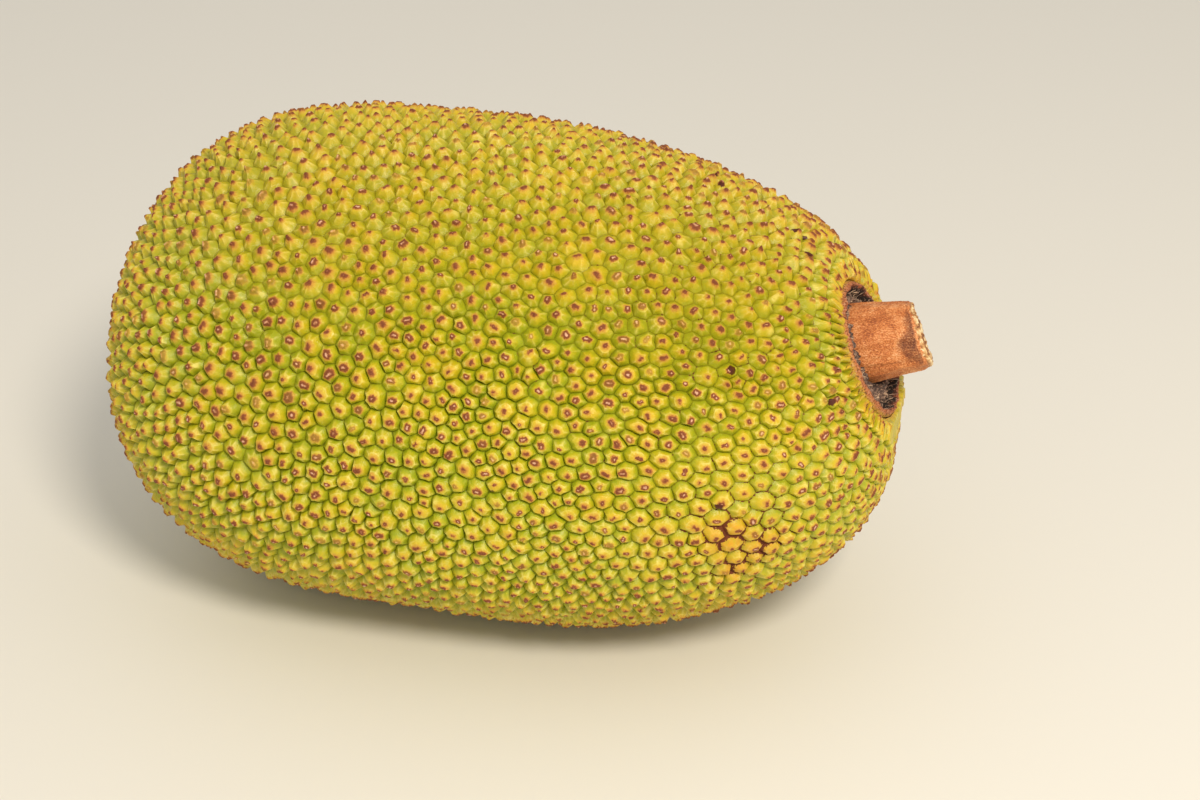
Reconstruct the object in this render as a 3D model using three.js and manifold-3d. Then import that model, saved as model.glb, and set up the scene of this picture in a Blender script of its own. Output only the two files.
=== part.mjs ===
// A jackfruit as picked, lying on its side: the whole fruit under its coat of blunt tubercles,
// the dried collar that lines the pit at its stalk end, and the sawn-off stalk itself.
// Millimetres, +Z up, the stalk end towards +X, the origin on the ground under the middle.

import * as THREE from 'three';
import { ConvexHull } from 'three/addons/math/ConvexHull.js';
import { mergeVertices } from 'three/addons/utils/BufferGeometryUtils.js';
import Module from 'manifold-3d';

const wasm = await Module();
wasm.setup();

// ---- Driving dimensions, in millimetres ----

// The fruit, over the tips of its tubercles. The heart is the point on its long axis where it is
// widest, and every direction below is taken from there.
const GIRTH_RADIUS = 113;
const BLOSSOM_REACH = 136.5; // from the heart to the rounded blossom end
const STALK_REACH = 220; // from the heart to the stalk end
const BLOSSOM_POWER = 2.62; // superellipse powers: 2 is an ellipse, and more is fuller
const STALK_POWER = 2.43;
const SWELL = 0.0088; // height of each slow wave in the fruit's form, as a share of its reach

// Tubercles. They stand larger and fewer than on a real fruit.
const TUBERCLE_COUNT = 1660;
const TUBERCLE_HEIGHT = 4.4;
const TUBERCLE_JITTER = 5.5; // how far a centre is thrown off its even place
const RELAX_ROUNDS = 2;

// The round pit that the stalk grows out of, above the long axis. Its centre is the middle of its
// flat rim, and the flesh runs nearly level beside the rim before it turns down over the shoulder.
const PIT_CENTRE = new THREE.Vector3(200.8, 0.9, 34.1);
const PIT_TILT = THREE.MathUtils.degToRad(25.3); // of the pit's axis, up from the long axis
const PIT_SWING = THREE.MathUtils.degToRad(2); // and round to the side
const PIT_RADIUS = 30.5;
const PIT_DEPTH = 14;
const SHOULDER_START = 36; // from the pit's axis
const SHOULDER_END = 60;
const SHOULDER_CREST = 43; // where the flesh has sloped down most from the level of the rim
const SHOULDER_DROP = 2.4; // and how far, on the side where it slopes most
const SHOULDER_BEARING = THREE.MathUtils.degToRad(195); // that side, round the pit's axis
// Rows of tubercles round the pit: distance from its axis, and how many stand in the row.
const PIT_ROWS = [
  { distance: 38, count: 32 },
  { distance: 51, count: 33 },
];

// The stalk, a stout woody cylinder, set a little high in the pit and leaning back down.
const STALK_RISE = 1.6; // its axis above the pit's centre, in the plane of the rim
const STALK_SHIFT = 2.6; // and to the side
const STALK_DROOP = THREE.MathUtils.degToRad(9); // its lean from the pit's axis, down
const STALK_SWAY = THREE.MathUtils.degToRad(1.5); // and to the side
const STALK_RIM_RADIUS = 17.3; // at the pit's rim
const STALK_TIP_RADIUS = 14.6;
const STALK_OUT = 24.2; // how far it stands above the rim
const STALK_SUNK = 4; // how far its foot goes into the flesh under the pit
const STALK_CUT_SLOPE = 0.1; // the saw cut's rise across the stalk, towards its underside
const STALK_CUT_TURN = 0.22; // its slope from the near side, the longer one, to the far side

const FLAT_DEPTH = 0.8; // how deep the resting flat goes into the fruit under its lowest point
const GAP = 0.3; // between pieces that touch

// ---- Colours ----

const rindSkin = new THREE.MeshStandardMaterial({ color: 0xb4bb3a, roughness: 0.5, metalness: 0 });
const deadHusk = new THREE.MeshStandardMaterial({ color: 0x6e4631, roughness: 0.95, metalness: 0 });
const barkedWood = new THREE.MeshStandardMaterial({ color: 0xb06f42, roughness: 0.8, metalness: 0 });

// ---- Helpers ----

// A repeatable source of random numbers from 0 to 1 (mulberry32).
function seededRandom(seed) {
  let state = seed;
  return () => {
    state = (state + 0x6d2b79f5) | 0;
    let t = Math.imul(state ^ (state >>> 15), 1 | state);
    t = (t + Math.imul(t ^ (t >>> 7), 61 | t)) ^ t;
    return ((t ^ (t >>> 14)) >>> 0) / 4294967296;
  };
}

function solidFrom(geometry) {
  const bare = geometry.clone();
  bare.deleteAttribute('normal');
  bare.deleteAttribute('uv');
  const merged = mergeVertices(bare, 1e-4);
  return new wasm.Manifold(
    new wasm.Mesh({
      numProp: 3,
      vertProperties: merged.attributes.position.array,
      triVerts: new Uint32Array(merged.index.array),
    })
  );
}

function geometryFrom(solid) {
  const mesh = solid.getMesh();
  const geometry = new THREE.BufferGeometry();
  geometry.setAttribute('position', new THREE.BufferAttribute(mesh.vertProperties, 3));
  geometry.setIndex(new THREE.BufferAttribute(mesh.triVerts, 1));
  return geometry;
}

// ---- The fruit's form ----

// Slow waves that keep the fruit from being a perfect turned body.
function swell(d) {
  const waves =
    Math.sin(4.1 * d.x + 2.3 * d.y - 1.14) +
    Math.sin(3.7 * d.y - 2.9 * d.z + 3.38) +
    Math.sin(5.3 * d.z + 2.1 * d.x + 3.67);
  return 1 + SWELL * waves;
}

// The undented surface between the tubercles, in direction d from the heart.
function undentedPoint(d) {
  const power = d.x < 0 ? BLOSSOM_POWER : STALK_POWER;
  const along = (d.x < 0 ? BLOSSOM_REACH : STALK_REACH) - TUBERCLE_HEIGHT;
  const across = GIRTH_RADIUS - TUBERCLE_HEIGHT;
  const share = (Math.abs(d.x) / along) ** power + (Math.hypot(d.y, d.z) / across) ** power;
  return d.clone().multiplyScalar(share ** (-1 / power) * swell(d));
}

// The outward normal at direction d of a surface given as a function of direction.
function normalOf(surface, d) {
  const step = 0.01;
  const side = new THREE.Vector3(-d.y, d.x, 0);
  if (side.lengthSq() < 0.01) side.set(0, -d.z, d.y);
  side.normalize();
  const other = new THREE.Vector3().crossVectors(d, side);
  const at = (axis, way) => surface(d.clone().addScaledVector(axis, way * step).normalize());
  const along = at(side, 1).sub(at(side, -1));
  const across = at(other, 1).sub(at(other, -1));
  return along.cross(across).normalize();
}

// The pit's own frame: its Y runs out along the pit's axis from the middle of the rim, its X to the
// side and its Z down the fruit's end.
const pitAxis = new THREE.Vector3(
  Math.cos(PIT_TILT) * Math.cos(PIT_SWING),
  Math.cos(PIT_TILT) * Math.sin(PIT_SWING),
  Math.sin(PIT_TILT)
);
const pitSide = new THREE.Vector3(0, 0, 1).cross(pitAxis).normalize();
const pitDown = pitSide.clone().cross(pitAxis);
const pitFrame = new THREE.Matrix4().makeBasis(pitSide, pitAxis, pitDown).setPosition(PIT_CENTRE);
const intoPitFrame = pitFrame.clone().invert();

// How far free a point of the undented surface is of the pit's dent: 0 at the rim, 1 past the
// shoulder.
function freeOfPit(point) {
  if (point.x < 0) return 1;
  const local = point.clone().applyMatrix4(intoPitFrame);
  return THREE.MathUtils.smoothstep(Math.hypot(local.x, local.z), SHOULDER_START, SHOULDER_END);
}

// How far the flesh slopes down beside the rim, at a point told in the pit's frame.
function shoulderDrop(local) {
  const distance = Math.hypot(local.x, local.z);
  const sloping = THREE.MathUtils.smoothstep(distance, PIT_RADIUS, SHOULDER_CREST);
  const leaving = THREE.MathUtils.smoothstep(distance, SHOULDER_CREST, SHOULDER_END);
  const towards = 0.5 + 0.5 * Math.cos(Math.atan2(local.z, local.x) - SHOULDER_BEARING);
  return SHOULDER_DROP * sloping * (1 - leaving) * towards;
}

// The surface between the tubercles, pressed down to the level of the rim beside the pit.
function basePoint(d) {
  const point = undentedPoint(d);
  if (point.x < 0) return point;
  const local = point.clone().applyMatrix4(intoPitFrame);
  const press = Math.max(local.y, 0) * (1 - freeOfPit(point)) + shoulderDrop(local);
  return point.addScaledVector(pitAxis, -press);
}

// The direction in which the surface lies at a distance and a bearing from the pit's axis.
function directionBesidePit(distance, bearing) {
  const local = new THREE.Vector3(distance * Math.cos(bearing), 0, distance * Math.sin(bearing));
  const direction = new THREE.Vector3();
  for (let round = 0; round < 12; round++) {
    direction.copy(local).applyMatrix4(pitFrame).normalize();
    local.y = undentedPoint(direction).applyMatrix4(intoPitFrame).y;
  }
  return direction;
}

// ---- Tubercles ----

const chance = seededRandom(41);

// Directions spread evenly over the fruit's area on a spiral, each thrown a little off its place.
function spiralDirections() {
  const steps = 900;
  const area = [0];
  const turned = (k) => {
    const angle = (Math.PI * k) / steps;
    return new THREE.Vector3(-Math.cos(angle), Math.sin(angle), 0);
  };
  for (let k = 1; k <= steps; k++) {
    const a = undentedPoint(turned(k - 1));
    const b = undentedPoint(turned(k));
    area.push(area[k - 1] + ((a.y + b.y) / 2) * a.distanceTo(b));
  }
  const goldenAngle = Math.PI * (3 - Math.sqrt(5));
  const found = [];
  let k = 0;
  for (let i = 0; i < TUBERCLE_COUNT; i++) {
    const wanted = ((i + 0.5) / TUBERCLE_COUNT) * area[steps];
    while (area[k + 1] < wanted) k++;
    const meridian = turned(k + (wanted - area[k]) / (area[k + 1] - area[k]));
    const bearing = i * goldenAngle;
    const d = new THREE.Vector3(meridian.x, meridian.y * Math.cos(bearing), meridian.y * Math.sin(bearing));
    const thrown = () => (chance() + chance() - 1) * TUBERCLE_JITTER;
    found.push(undentedPoint(d).add(new THREE.Vector3(thrown(), thrown(), thrown())).normalize());
  }
  return found;
}

// The rows that ring the pit, and the few centres inside it that the pit's cut then removes.
function pitRowDirections() {
  const first = PIT_ROWS[0];
  const mirrored = { distance: 2 * PIT_RADIUS - first.distance, count: first.count };
  const rows = [{ distance: 0.01, count: 1 }, { distance: 12, count: 8 }, mirrored, ...PIT_ROWS];
  const found = [];
  for (const row of rows) {
    const start = row === PIT_ROWS[1] ? 0.5 : 0;
    for (let i = 0; i < row.count; i++) {
      const bearing = ((i + start + 0.2 * (chance() - 0.5)) / row.count) * Math.PI * 2;
      found.push(directionBesidePit(row.distance, bearing));
    }
  }
  return found;
}

// The triangles between neighbouring directions: the convex hull of points on a sphere.
function neighbourTriangles(directions) {
  const index = new Map(directions.map((d, i) => [d, i]));
  return new ConvexHull().setFromPoints(directions).faces.map((face) => {
    const corners = [];
    let edge = face.edge;
    do {
      corners.push(index.get(edge.head().point));
      edge = edge.next;
    } while (edge !== face.edge);
    return corners;
  });
}

// Moves each free direction to the middle of its neighbours, which evens out the tubercles.
function relax(directions, fixedCount) {
  const sums = directions.map(() => new THREE.Vector3());
  const points = directions.map(basePoint);
  for (const corners of neighbourTriangles(directions)) {
    corners.forEach((a, i) => {
      sums[a].add(points[corners[(i + 1) % 3]]);
      sums[a].add(points[corners[(i + 2) % 3]]);
    });
  }
  return directions.map((d, i) => (i < fixedCount ? d : sums[i].normalize()));
}

function tubercleDirections() {
  const rows = pitRowDirections();
  const lastRow = PIT_ROWS[PIT_ROWS.length - 1];
  const clearOfRows = (d) => {
    const local = undentedPoint(d).applyMatrix4(intoPitFrame);
    return d.x < 0 || Math.hypot(local.x, local.z) > lastRow.distance + 6;
  };
  let directions = [...rows, ...spiralDirections().filter(clearOfRows)];
  for (let round = 0; round < RELAX_ROUNDS; round++) directions = relax(directions, rows.length);
  return directions;
}

// The fruit's skin: one pyramid for each tubercle, its foot the cell that it has to itself.
function tubercledSkin() {
  const directions = tubercleDirections();
  const triangles = neighbourTriangles(directions);
  const positions = [];
  const index = [];
  for (const d of directions) {
    const free = freeOfPit(undentedPoint(d));
    const height = TUBERCLE_HEIGHT * (0.85 + 0.3 * chance()) * (0.35 + 0.65 * free);
    positions.push(...basePoint(d).addScaledVector(normalOf(basePoint, d), height).toArray());
  }
  // The low point between three tubercles lies between their middle and the centre of the circle
  // through them.
  const valleyOf = new Map();
  triangles.forEach((corners, t) => {
    const [a, b, c] = corners.map((i) => directions[i]);
    const middle = a.clone().add(b).add(c).normalize();
    const circle = b.clone().sub(a).cross(c.clone().sub(a)).normalize();
    positions.push(...basePoint(middle.add(circle).normalize()).toArray());
    corners.forEach((from, i) => valleyOf.set(`${from}-${corners[(i + 1) % 3]}`, directions.length + t));
  });
  for (const [edge, left] of valleyOf) {
    const [from, to] = edge.split('-');
    index.push(Number(from), valleyOf.get(`${to}-${from}`), left);
  }
  const geometry = new THREE.BufferGeometry();
  geometry.setAttribute('position', new THREE.Float32BufferAttribute(positions, 3));
  geometry.setIndex(index);
  return geometry;
}

// ---- Pit, collar and stalk ----

// A solid of [radius, height] points turned round the Y axis.
function turnedGeometry(profile, segments) {
  return new THREE.LatheGeometry(
    profile.map(([radius, height]) => new THREE.Vector2(radius, height)),
    segments
  );
}

// Moves every vertex by a function of its place, so that doubled vertices stay together.
function shape(geometry, move) {
  const positions = geometry.attributes.position;
  const point = new THREE.Vector3();
  for (let i = 0; i < positions.count; i++) {
    point.fromBufferAttribute(positions, i);
    move(point);
    positions.setXYZ(i, point.x, point.y, point.z);
  }
  return geometry;
}

// The stalk's own frame: its Y runs out along the stalk from the middle of its foot.
const stalkDepth = PIT_DEPTH + STALK_SUNK;
const stalkLength = stalkDepth + STALK_OUT;
const stalkFrame = pitFrame
  .clone()
  .multiply(new THREE.Matrix4().makeTranslation(STALK_SHIFT, 0, -STALK_RISE))
  .multiply(new THREE.Matrix4().makeRotationX(STALK_DROOP))
  .multiply(new THREE.Matrix4().makeRotationZ(-STALK_SWAY))
  .multiply(new THREE.Matrix4().makeTranslation(0, -stalkDepth, 0));

// The sawn-off stalk, standing on its foot: a little oval, ribbed by its bark, with a torn rim
// round a hollowed cut.
function stalkGeometry() {
  const rows = 9;
  const taper = (STALK_RIM_RADIUS - STALK_TIP_RADIUS) / STALK_OUT;
  const radiusAt = (height) => STALK_RIM_RADIUS + taper * Math.min(stalkDepth - height, 4);
  const profile = [[0, 0], [radiusAt(0) - 1, 0]];
  for (let row = 0; row <= rows; row++) {
    const height = 1.2 + (row / rows) * (stalkLength - 4);
    profile.push([radiusAt(height), height]);
  }
  const rim = STALK_TIP_RADIUS;
  profile.push([rim * 0.96, stalkLength - 0.8], [rim * 0.86, stalkLength], [rim * 0.74, stalkLength - 1.1]);
  profile.push([rim * 0.4, stalkLength - 1.6], [0, stalkLength - 1.3]);
  return shape(turnedGeometry(profile, 36), (p) => {
    const bearing = Math.atan2(p.z, p.x);
    const upThere = (p.y / stalkLength) ** 6;
    const ribs = 0.25 * Math.sin(7 * bearing + 0.8) + 0.2 * Math.sin(12 * bearing + 2.1);
    const torn = 0.7 * Math.sin(5 * bearing + 1.0) + 0.5 * Math.sin(11 * bearing);
    const share = Math.hypot(p.x, p.z) / STALK_RIM_RADIUS;
    p.y += upThere * (STALK_CUT_SLOPE * p.z - STALK_CUT_TURN * p.x + torn * share ** 4);
    const outward = 1 + 0.02 * Math.cos(2 * bearing) + (ribs * share ** 2) / STALK_RIM_RADIUS;
    p.x *= outward;
    p.z *= outward;
  });
}

// The hole that the stalk stands in.
function stalkHole() {
  const radius = STALK_RIM_RADIUS + 1.1 + GAP;
  const top = stalkLength + 10;
  const hole = turnedGeometry([[0, -GAP], [radius, -GAP], [radius, top], [0, top]], 36);
  return solidFrom(hole.applyMatrix4(stalkFrame));
}

function pitHole() {
  const profile = [[0, -PIT_DEPTH], [PIT_RADIUS, -PIT_DEPTH], [PIT_RADIUS, 30], [0, 30]];
  return solidFrom(turnedGeometry(profile, 64).applyMatrix4(pitFrame));
}

// The dead, fibrous collar that lines the pit: a broad lip at its rim, the crack inside the lip,
// and the husk that slopes down to the stalk.
function collarSolid(hole) {
  const outer = PIT_RADIUS - GAP;
  const inner = STALK_RIM_RADIUS - 4;
  const floor = -PIT_DEPTH + GAP;
  const lip = [[outer, 0], [29, 1.6], [27, 2.4], [25, 1.8]];
  const crack = [[23.4, -2.4]];
  const husk = [[22.2, -0.8], [19, -3], [inner, -5]];
  const profile = [[inner, floor], [outer, floor], ...lip, ...crack, ...husk, [inner, floor]];
  const ring = shape(turnedGeometry(profile, 64), (p) => {
    const fromAxis = Math.hypot(p.x, p.z);
    if (p.y < floor + 1 || fromAxis > outer - 1) return;
    const bearing = Math.atan2(p.z, p.x);
    p.y += 0.45 * Math.sin(17 * bearing + 0.3 * fromAxis) + 0.35 * Math.sin(11 * bearing - fromAxis);
  });
  return solidFrom(ring.applyMatrix4(pitFrame)).subtract(hole);
}

// ---- The ground under the fruit ----

const lowest = Math.min(
  ...Array.from({ length: 181 }, (_, k) => {
    const angle = (Math.PI * k) / 180;
    return undentedPoint(new THREE.Vector3(-Math.cos(angle), 0, -Math.sin(angle))).z;
  })
);
const groundLevel = lowest + FLAT_DEPTH;

function groundSlab() {
  const slab = new THREE.BoxGeometry(600, 400, 40);
  return solidFrom(slab.translate(0, 0, groundLevel - 20));
}

// ---- The pieces, in place ----

function piece(name, geometry, material) {
  const mesh = new THREE.Mesh(geometry, material);
  mesh.name = name;
  return mesh;
}

const hole = stalkHole();
const fruitSolid = solidFrom(tubercledSkin()).subtract(pitHole()).subtract(hole).subtract(groundSlab());

const fruit = piece('fruit', geometryFrom(fruitSolid), rindSkin);
const collar = piece('collar', geometryFrom(collarSolid(hole)), deadHusk);
const stalk = piece('stalk', stalkGeometry(), barkedWood);
stalk.applyMatrix4(stalkFrame);

const lying = new THREE.Group();
lying.add(fruit, collar, stalk);
lying.updateMatrixWorld(true);
const extent = new THREE.Box3().setFromObject(lying, true);
lying.position.set(-(extent.min.x + extent.max.x) / 2, -(extent.min.y + extent.max.y) / 2, -groundLevel);

const jackfruit = new THREE.Group();
jackfruit.add(lying);

export default jackfruit;
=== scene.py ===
# %% [markdown]
# # A jackfruit, lying on its side
# A jackfruit is a whole cluster of flowers grown into one body. Each flower ends in a blunt horny
# tubercle, so the rind is a field of a few thousand little many-sided hills, with a dry brown scar
# on each top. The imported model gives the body, its real size and a coarse coat of tubercles. This
# script lays the fine rind, the dead collar and the woody stalk on that same body.

import math
from functools import partial

import bpy
import numpy as np
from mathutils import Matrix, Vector
from mathutils.geometry import delaunay_2d_cdt


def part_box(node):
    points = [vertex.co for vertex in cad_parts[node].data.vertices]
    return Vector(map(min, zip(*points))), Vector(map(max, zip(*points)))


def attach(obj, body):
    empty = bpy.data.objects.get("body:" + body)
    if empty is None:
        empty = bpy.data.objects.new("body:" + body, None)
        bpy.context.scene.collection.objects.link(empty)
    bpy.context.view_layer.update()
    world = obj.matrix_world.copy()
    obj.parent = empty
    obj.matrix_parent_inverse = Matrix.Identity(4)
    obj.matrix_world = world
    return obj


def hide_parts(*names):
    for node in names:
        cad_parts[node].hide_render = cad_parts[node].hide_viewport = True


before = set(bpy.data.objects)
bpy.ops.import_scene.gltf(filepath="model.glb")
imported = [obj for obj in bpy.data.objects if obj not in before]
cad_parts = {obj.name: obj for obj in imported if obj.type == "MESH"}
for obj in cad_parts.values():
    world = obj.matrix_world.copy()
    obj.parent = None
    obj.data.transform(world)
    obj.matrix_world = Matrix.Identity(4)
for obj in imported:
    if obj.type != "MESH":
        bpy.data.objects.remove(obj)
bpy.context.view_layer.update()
MM = 0.001
fruit_low, fruit_high = (np.array(corner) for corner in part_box("fruit"))

# %% [markdown]
# ## Small helpers
# Three tools serve every step. Smooth random waves give the unevenness of grown things: sines that
# run in drawn directions cost little and join without a seam, where a noise picture would need a
# map. A mesh is filled from whole arrays at once, because adding faces one by one is slow. Colours
# are written as sRGB hex, the way a colour picker shows them, and turned linear in one place.


# %% Vectors, smooth steps and waves
def unit(vectors):
    return vectors / np.linalg.norm(vectors, axis=-1, keepdims=True)


def smoothstep(value, start, end):
    share = np.clip((value - start) / (end - start), 0, 1)
    return share * share * (3 - 2 * share)


def waves(points, size, seed, count=7):
    """A smooth random number, mostly between -1 and 1, that changes over about `size` metres."""
    draw = np.random.default_rng(seed)
    runs = unit(draw.normal(size=(count, 3))) * (math.tau / size) * draw.uniform(0.6, 1.5, (count, 1))
    phases = draw.uniform(0, math.tau, count)
    return np.sin(points @ runs.T + phases).sum(-1) / math.sqrt(count)


# %% Meshes from arrays
def new_mesh(name, points, faces, flat_from=None):
    """A mesh object from points and a list of face arrays, not smoothed from `flat_from` on."""
    corners = np.concatenate([np.asarray(rows).ravel() for rows in faces]).astype(np.int32)
    counts = np.concatenate([np.full(len(rows), np.shape(rows)[1]) for rows in faces])
    starts = np.concatenate([[0], np.cumsum(counts)[:-1]]).astype(np.int32)
    mesh = bpy.data.meshes.new(name)
    mesh.vertices.add(len(points))
    mesh.vertices.foreach_set("co", np.asarray(points, np.float32).ravel())
    mesh.loops.add(len(corners))
    mesh.loops.foreach_set("vertex_index", corners)
    mesh.polygons.add(len(counts))
    mesh.polygons.foreach_set("loop_start", starts)
    smooth = np.ones(len(counts), bool)
    if flat_from is not None:
        smooth[sum(len(rows) for rows in faces[:flat_from]):] = False
    mesh.polygons.foreach_set("use_smooth", smooth)
    mesh.update(calc_edges=True)
    thing = bpy.data.objects.new(name, mesh)
    bpy.context.scene.collection.objects.link(thing)
    return thing


def add_numbers(thing, name, values, domain="POINT"):
    made = thing.data.attributes.new(name, "FLOAT", domain)
    made.data.foreach_set("value", np.asarray(values, np.float32))


# %% Colours, nodes and materials
def linear(hex_colour):
    """An sRGB hex colour as linear RGBA."""
    parts = [int(hex_colour[i:i + 2], 16) / 255 for i in (0, 2, 4)]
    return [c / 12.92 if c <= 0.04045 else ((c + 0.055) / 1.055) ** 2.4 for c in parts] + [1.0]


def add_node(tree, kind, inputs=None, **settings):
    """A shader node with its settings, linked to what feeds it.

    An input is given as a value, as the socket that feeds it, or as a node whose first output does.
    """
    made = tree.nodes.new("ShaderNode" + kind)
    for name, value in settings.items():
        setattr(made, name, value)
    for name, value in (inputs or {}).items():
        socket = next(s for i, s in enumerate(made.inputs) if s.enabled and name in (i, s.name))
        if isinstance(value, bpy.types.Node):
            value = next(s for s in value.outputs if s.enabled)
        if isinstance(value, bpy.types.NodeSocket):
            tree.links.new(value, socket)
        else:
            socket.default_value = value
    return made


def set_stops(ramp, stops):
    """The stops of a colour ramp: how far along, and the hex colour there."""
    elements = ramp.color_ramp.elements
    while len(elements) < len(stops):
        elements.new(1)
    for element, (along, hex_colour) in zip(elements, stops):
        element.position = along
        element.color = linear(hex_colour)
    return ramp


def new_material(name):
    """An empty material, and the function that adds nodes to it."""
    material = bpy.data.materials.new(name)
    material.use_nodes = True
    material.node_tree.nodes.clear()
    return material, partial(add_node, material.node_tree)


def per_metre(size_mm):
    """The scale of a pattern whose features are that many millimetres wide."""
    return 1 / (size_mm * MM)


def dress(thing, node, material):
    """Gives a piece its finish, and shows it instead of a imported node."""
    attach(thing, "root")
    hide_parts(node)
    thing.data.materials.append(material)


# %% [markdown]
# ## The body under the tubercles
# The body could be sculpted, or turned as a lathe shape. A formula is better here, because
# thousands of tubercles have to find their foot on it: for any direction from the heart of the
# fruit it gives the point of the surface. It is a superellipse turned round the long axis, blunter
# at the blossom end, with slow swells so that no side is quite like another. Beside the pit the
# surface is pressed down level with the rim.

# %% The body's form
GIRTH_RADIUS = 113 * MM  # over the tips of the tubercles
BLOSSOM_REACH = 135.6 * MM  # from the heart to the blossom end
STALK_REACH = 220 * MM
BLOSSOM_POWER = 2.62  # 2 is an ellipse, and more is fuller
STALK_POWER = 2.43
SWELL = 0.0088  # of the radius
TUBERCLE_HEIGHT = 4.4 * MM
HEART = np.array([-45.1, -0.5, 106.6]) * MM  # where the long axis is at the widest girth


def swell(d):
    x, y, z = d[..., 0], d[..., 1], d[..., 2]
    slow = np.sin(4.1 * x + 2.3 * y - 1.14) + np.sin(3.7 * y - 2.9 * z + 3.38)
    return 1 + SWELL * (slow + np.sin(5.3 * z + 2.1 * x + 3.67))


def body_point(d):
    """The body without the pit's dent, in direction d from the heart."""
    at_blossom = d[..., 0] < 0
    power = np.where(at_blossom, BLOSSOM_POWER, STALK_POWER)
    along = np.where(at_blossom, BLOSSOM_REACH, STALK_REACH) - TUBERCLE_HEIGHT
    across = GIRTH_RADIUS - TUBERCLE_HEIGHT
    share = (np.abs(d[..., 0]) / along) ** power + (np.hypot(d[..., 1], d[..., 2]) / across) ** power
    return d * (share ** (-1 / power) * swell(d))[..., None]


# %% The pit's own frame, and the surface pressed level with its rim
PIT_CENTRE = np.array([200.8, 0.9, 34.1]) * MM  # the middle of the rim, from the heart
PIT_TILT = math.radians(25.3)
PIT_SWING = math.radians(2)
PIT_RADIUS = 30.5 * MM
SHOULDER_START = 36 * MM  # from the pit's axis
SHOULDER_END = 60 * MM
SHOULDER_DROP = 2.4 * MM  # how far the near shoulder slopes down from the rim
SHOULDER_CREST = 43 * MM
SHOULDER_BEARING = math.radians(195)  # round the pit, the side where the shoulder slopes most

pit_axis = np.array([
    math.cos(PIT_TILT) * math.cos(PIT_SWING),
    math.cos(PIT_TILT) * math.sin(PIT_SWING),
    math.sin(PIT_TILT),
])
pit_side = unit(np.cross([0, 0, 1], pit_axis))
pit_down = np.cross(pit_side, pit_axis)
pit_basis = np.array([pit_side, pit_axis, pit_down])


def into_pit(points):
    """Places from the heart, told as side, out along the pit's axis, and down its plane."""
    return (points - PIT_CENTRE) @ pit_basis.T


def out_of_pit(local):
    return local @ pit_basis + PIT_CENTRE


def from_pit_axis(points):
    local = into_pit(points)
    return np.hypot(local[..., 0], local[..., 2])


def free_of_pit(points):
    """0 at the rim, 1 past the shoulder."""
    past_shoulder = smoothstep(from_pit_axis(points), SHOULDER_START, SHOULDER_END)
    return np.where(points[..., 0] < 0, 1.0, past_shoulder)


def shoulder_drop(points):
    """How far the skin is rounded down beside the rim."""
    local = into_pit(points)
    away = from_pit_axis(points)
    ring = smoothstep(away, PIT_RADIUS, SHOULDER_CREST)
    ring = ring * (1 - smoothstep(away, SHOULDER_CREST, SHOULDER_END))
    towards = 0.5 + 0.5 * np.cos(np.arctan2(local[..., 2], local[..., 0]) - SHOULDER_BEARING)
    return np.where(points[..., 0] < 0, 0, SHOULDER_DROP * ring * towards)


MOST_RELIEF = 0.94
RELIEF_LOST_SWELLING = 0.32
RELIEF_LOST_AT_STALK = 0.12
LIFT = 0.85  # how much of the lost relief the skin makes up for


def relief(points):
    """How tall the tubercles stand, as a share of the tallest: least on the plates at the stalk end."""
    swollen = smoothstep(points[..., 0], -80 * MM, 140 * MM)
    by_stalk = smoothstep(points[..., 0], 130 * MM, 185 * MM)
    not_below = 1 - smoothstep(-points[..., 2], 20 * MM, 65 * MM)
    on_flank = not_below * (1 - smoothstep(points[..., 2], 15 * MM, 60 * MM))
    lost = RELIEF_LOST_SWELLING * swollen * on_flank
    return MOST_RELIEF - lost - RELIEF_LOST_AT_STALK * by_stalk * on_flank


def skin_point(d):
    """The surface that the tubercles stand on, higher where they are low, so that the tips stay put."""
    point = body_point(d)
    free = free_of_pit(point)
    press = np.maximum(into_pit(point)[..., 1], 0) * (1 - free) + shoulder_drop(point)
    lift = TUBERCLE_HEIGHT * LIFT * (1 - relief(point)) * free
    return point - pit_axis * press[..., None] + d * lift[..., None]


print("body girth in mm:", round(2 * body_point(np.array([0.0, 1.0, 0.0]))[1] / MM, 1))

# %% [markdown]
# ## Where the tubercles stand
# A regular spiral would look knitted. The real ones crowd as they grow, each keeping its distance
# from the next, so centres are thrown at random and kept only where there is room. How much room is
# set by how the fruit grew: most round its middle, less towards the stalk, and most of all on the
# flank that swelled. Round the pit they stand in rows, and the first row is drawn out into narrow
# ridges that run into the rim. Moving each free centre a few times to the middle of its ground
# takes away the gaps that chance left.

# %% Spacing, and the rows round the pit
SPACING = [  # mm along the fruit from the heart, and mm from one tubercle to the next
    (-130, 7.7), (-60, 7.9), (0, 8.0), (60, 7.3), (120, 7.1), (150, 6.7), (178, 6.3), (215, 6.2),
]
WIDE_SPOTS = [  # places from the heart, reach and extra spacing, in mm
    ((162, -80, -22), 40, 2.6),
    ((60, 88, 20), 60, 0.9),
    ((110, -55, -72), 60, -1.0),
]
PIT_ROWS = [(36.2, 65), (44.4, 63), (52.4, 62)]  # mm from the pit's axis, and how many in the row
INSIDE_ROWS = [(0.01, 1), (12, 10)]  # the same inside the rim, where no tubercle is made
ROW_JITTER = 0.3  # round the pit, as a share of the step from one centre to the next
ROW_SHIFT = 0.2  # the same, once more past the first row
ROW_UNEVENNESS = 1.7 * MM  # how far the centres past the first row stand in or out
SETTLING_ROUNDS = 12  # of looking for the body below a place in the pit's plane
draw = np.random.default_rng(41)


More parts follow.
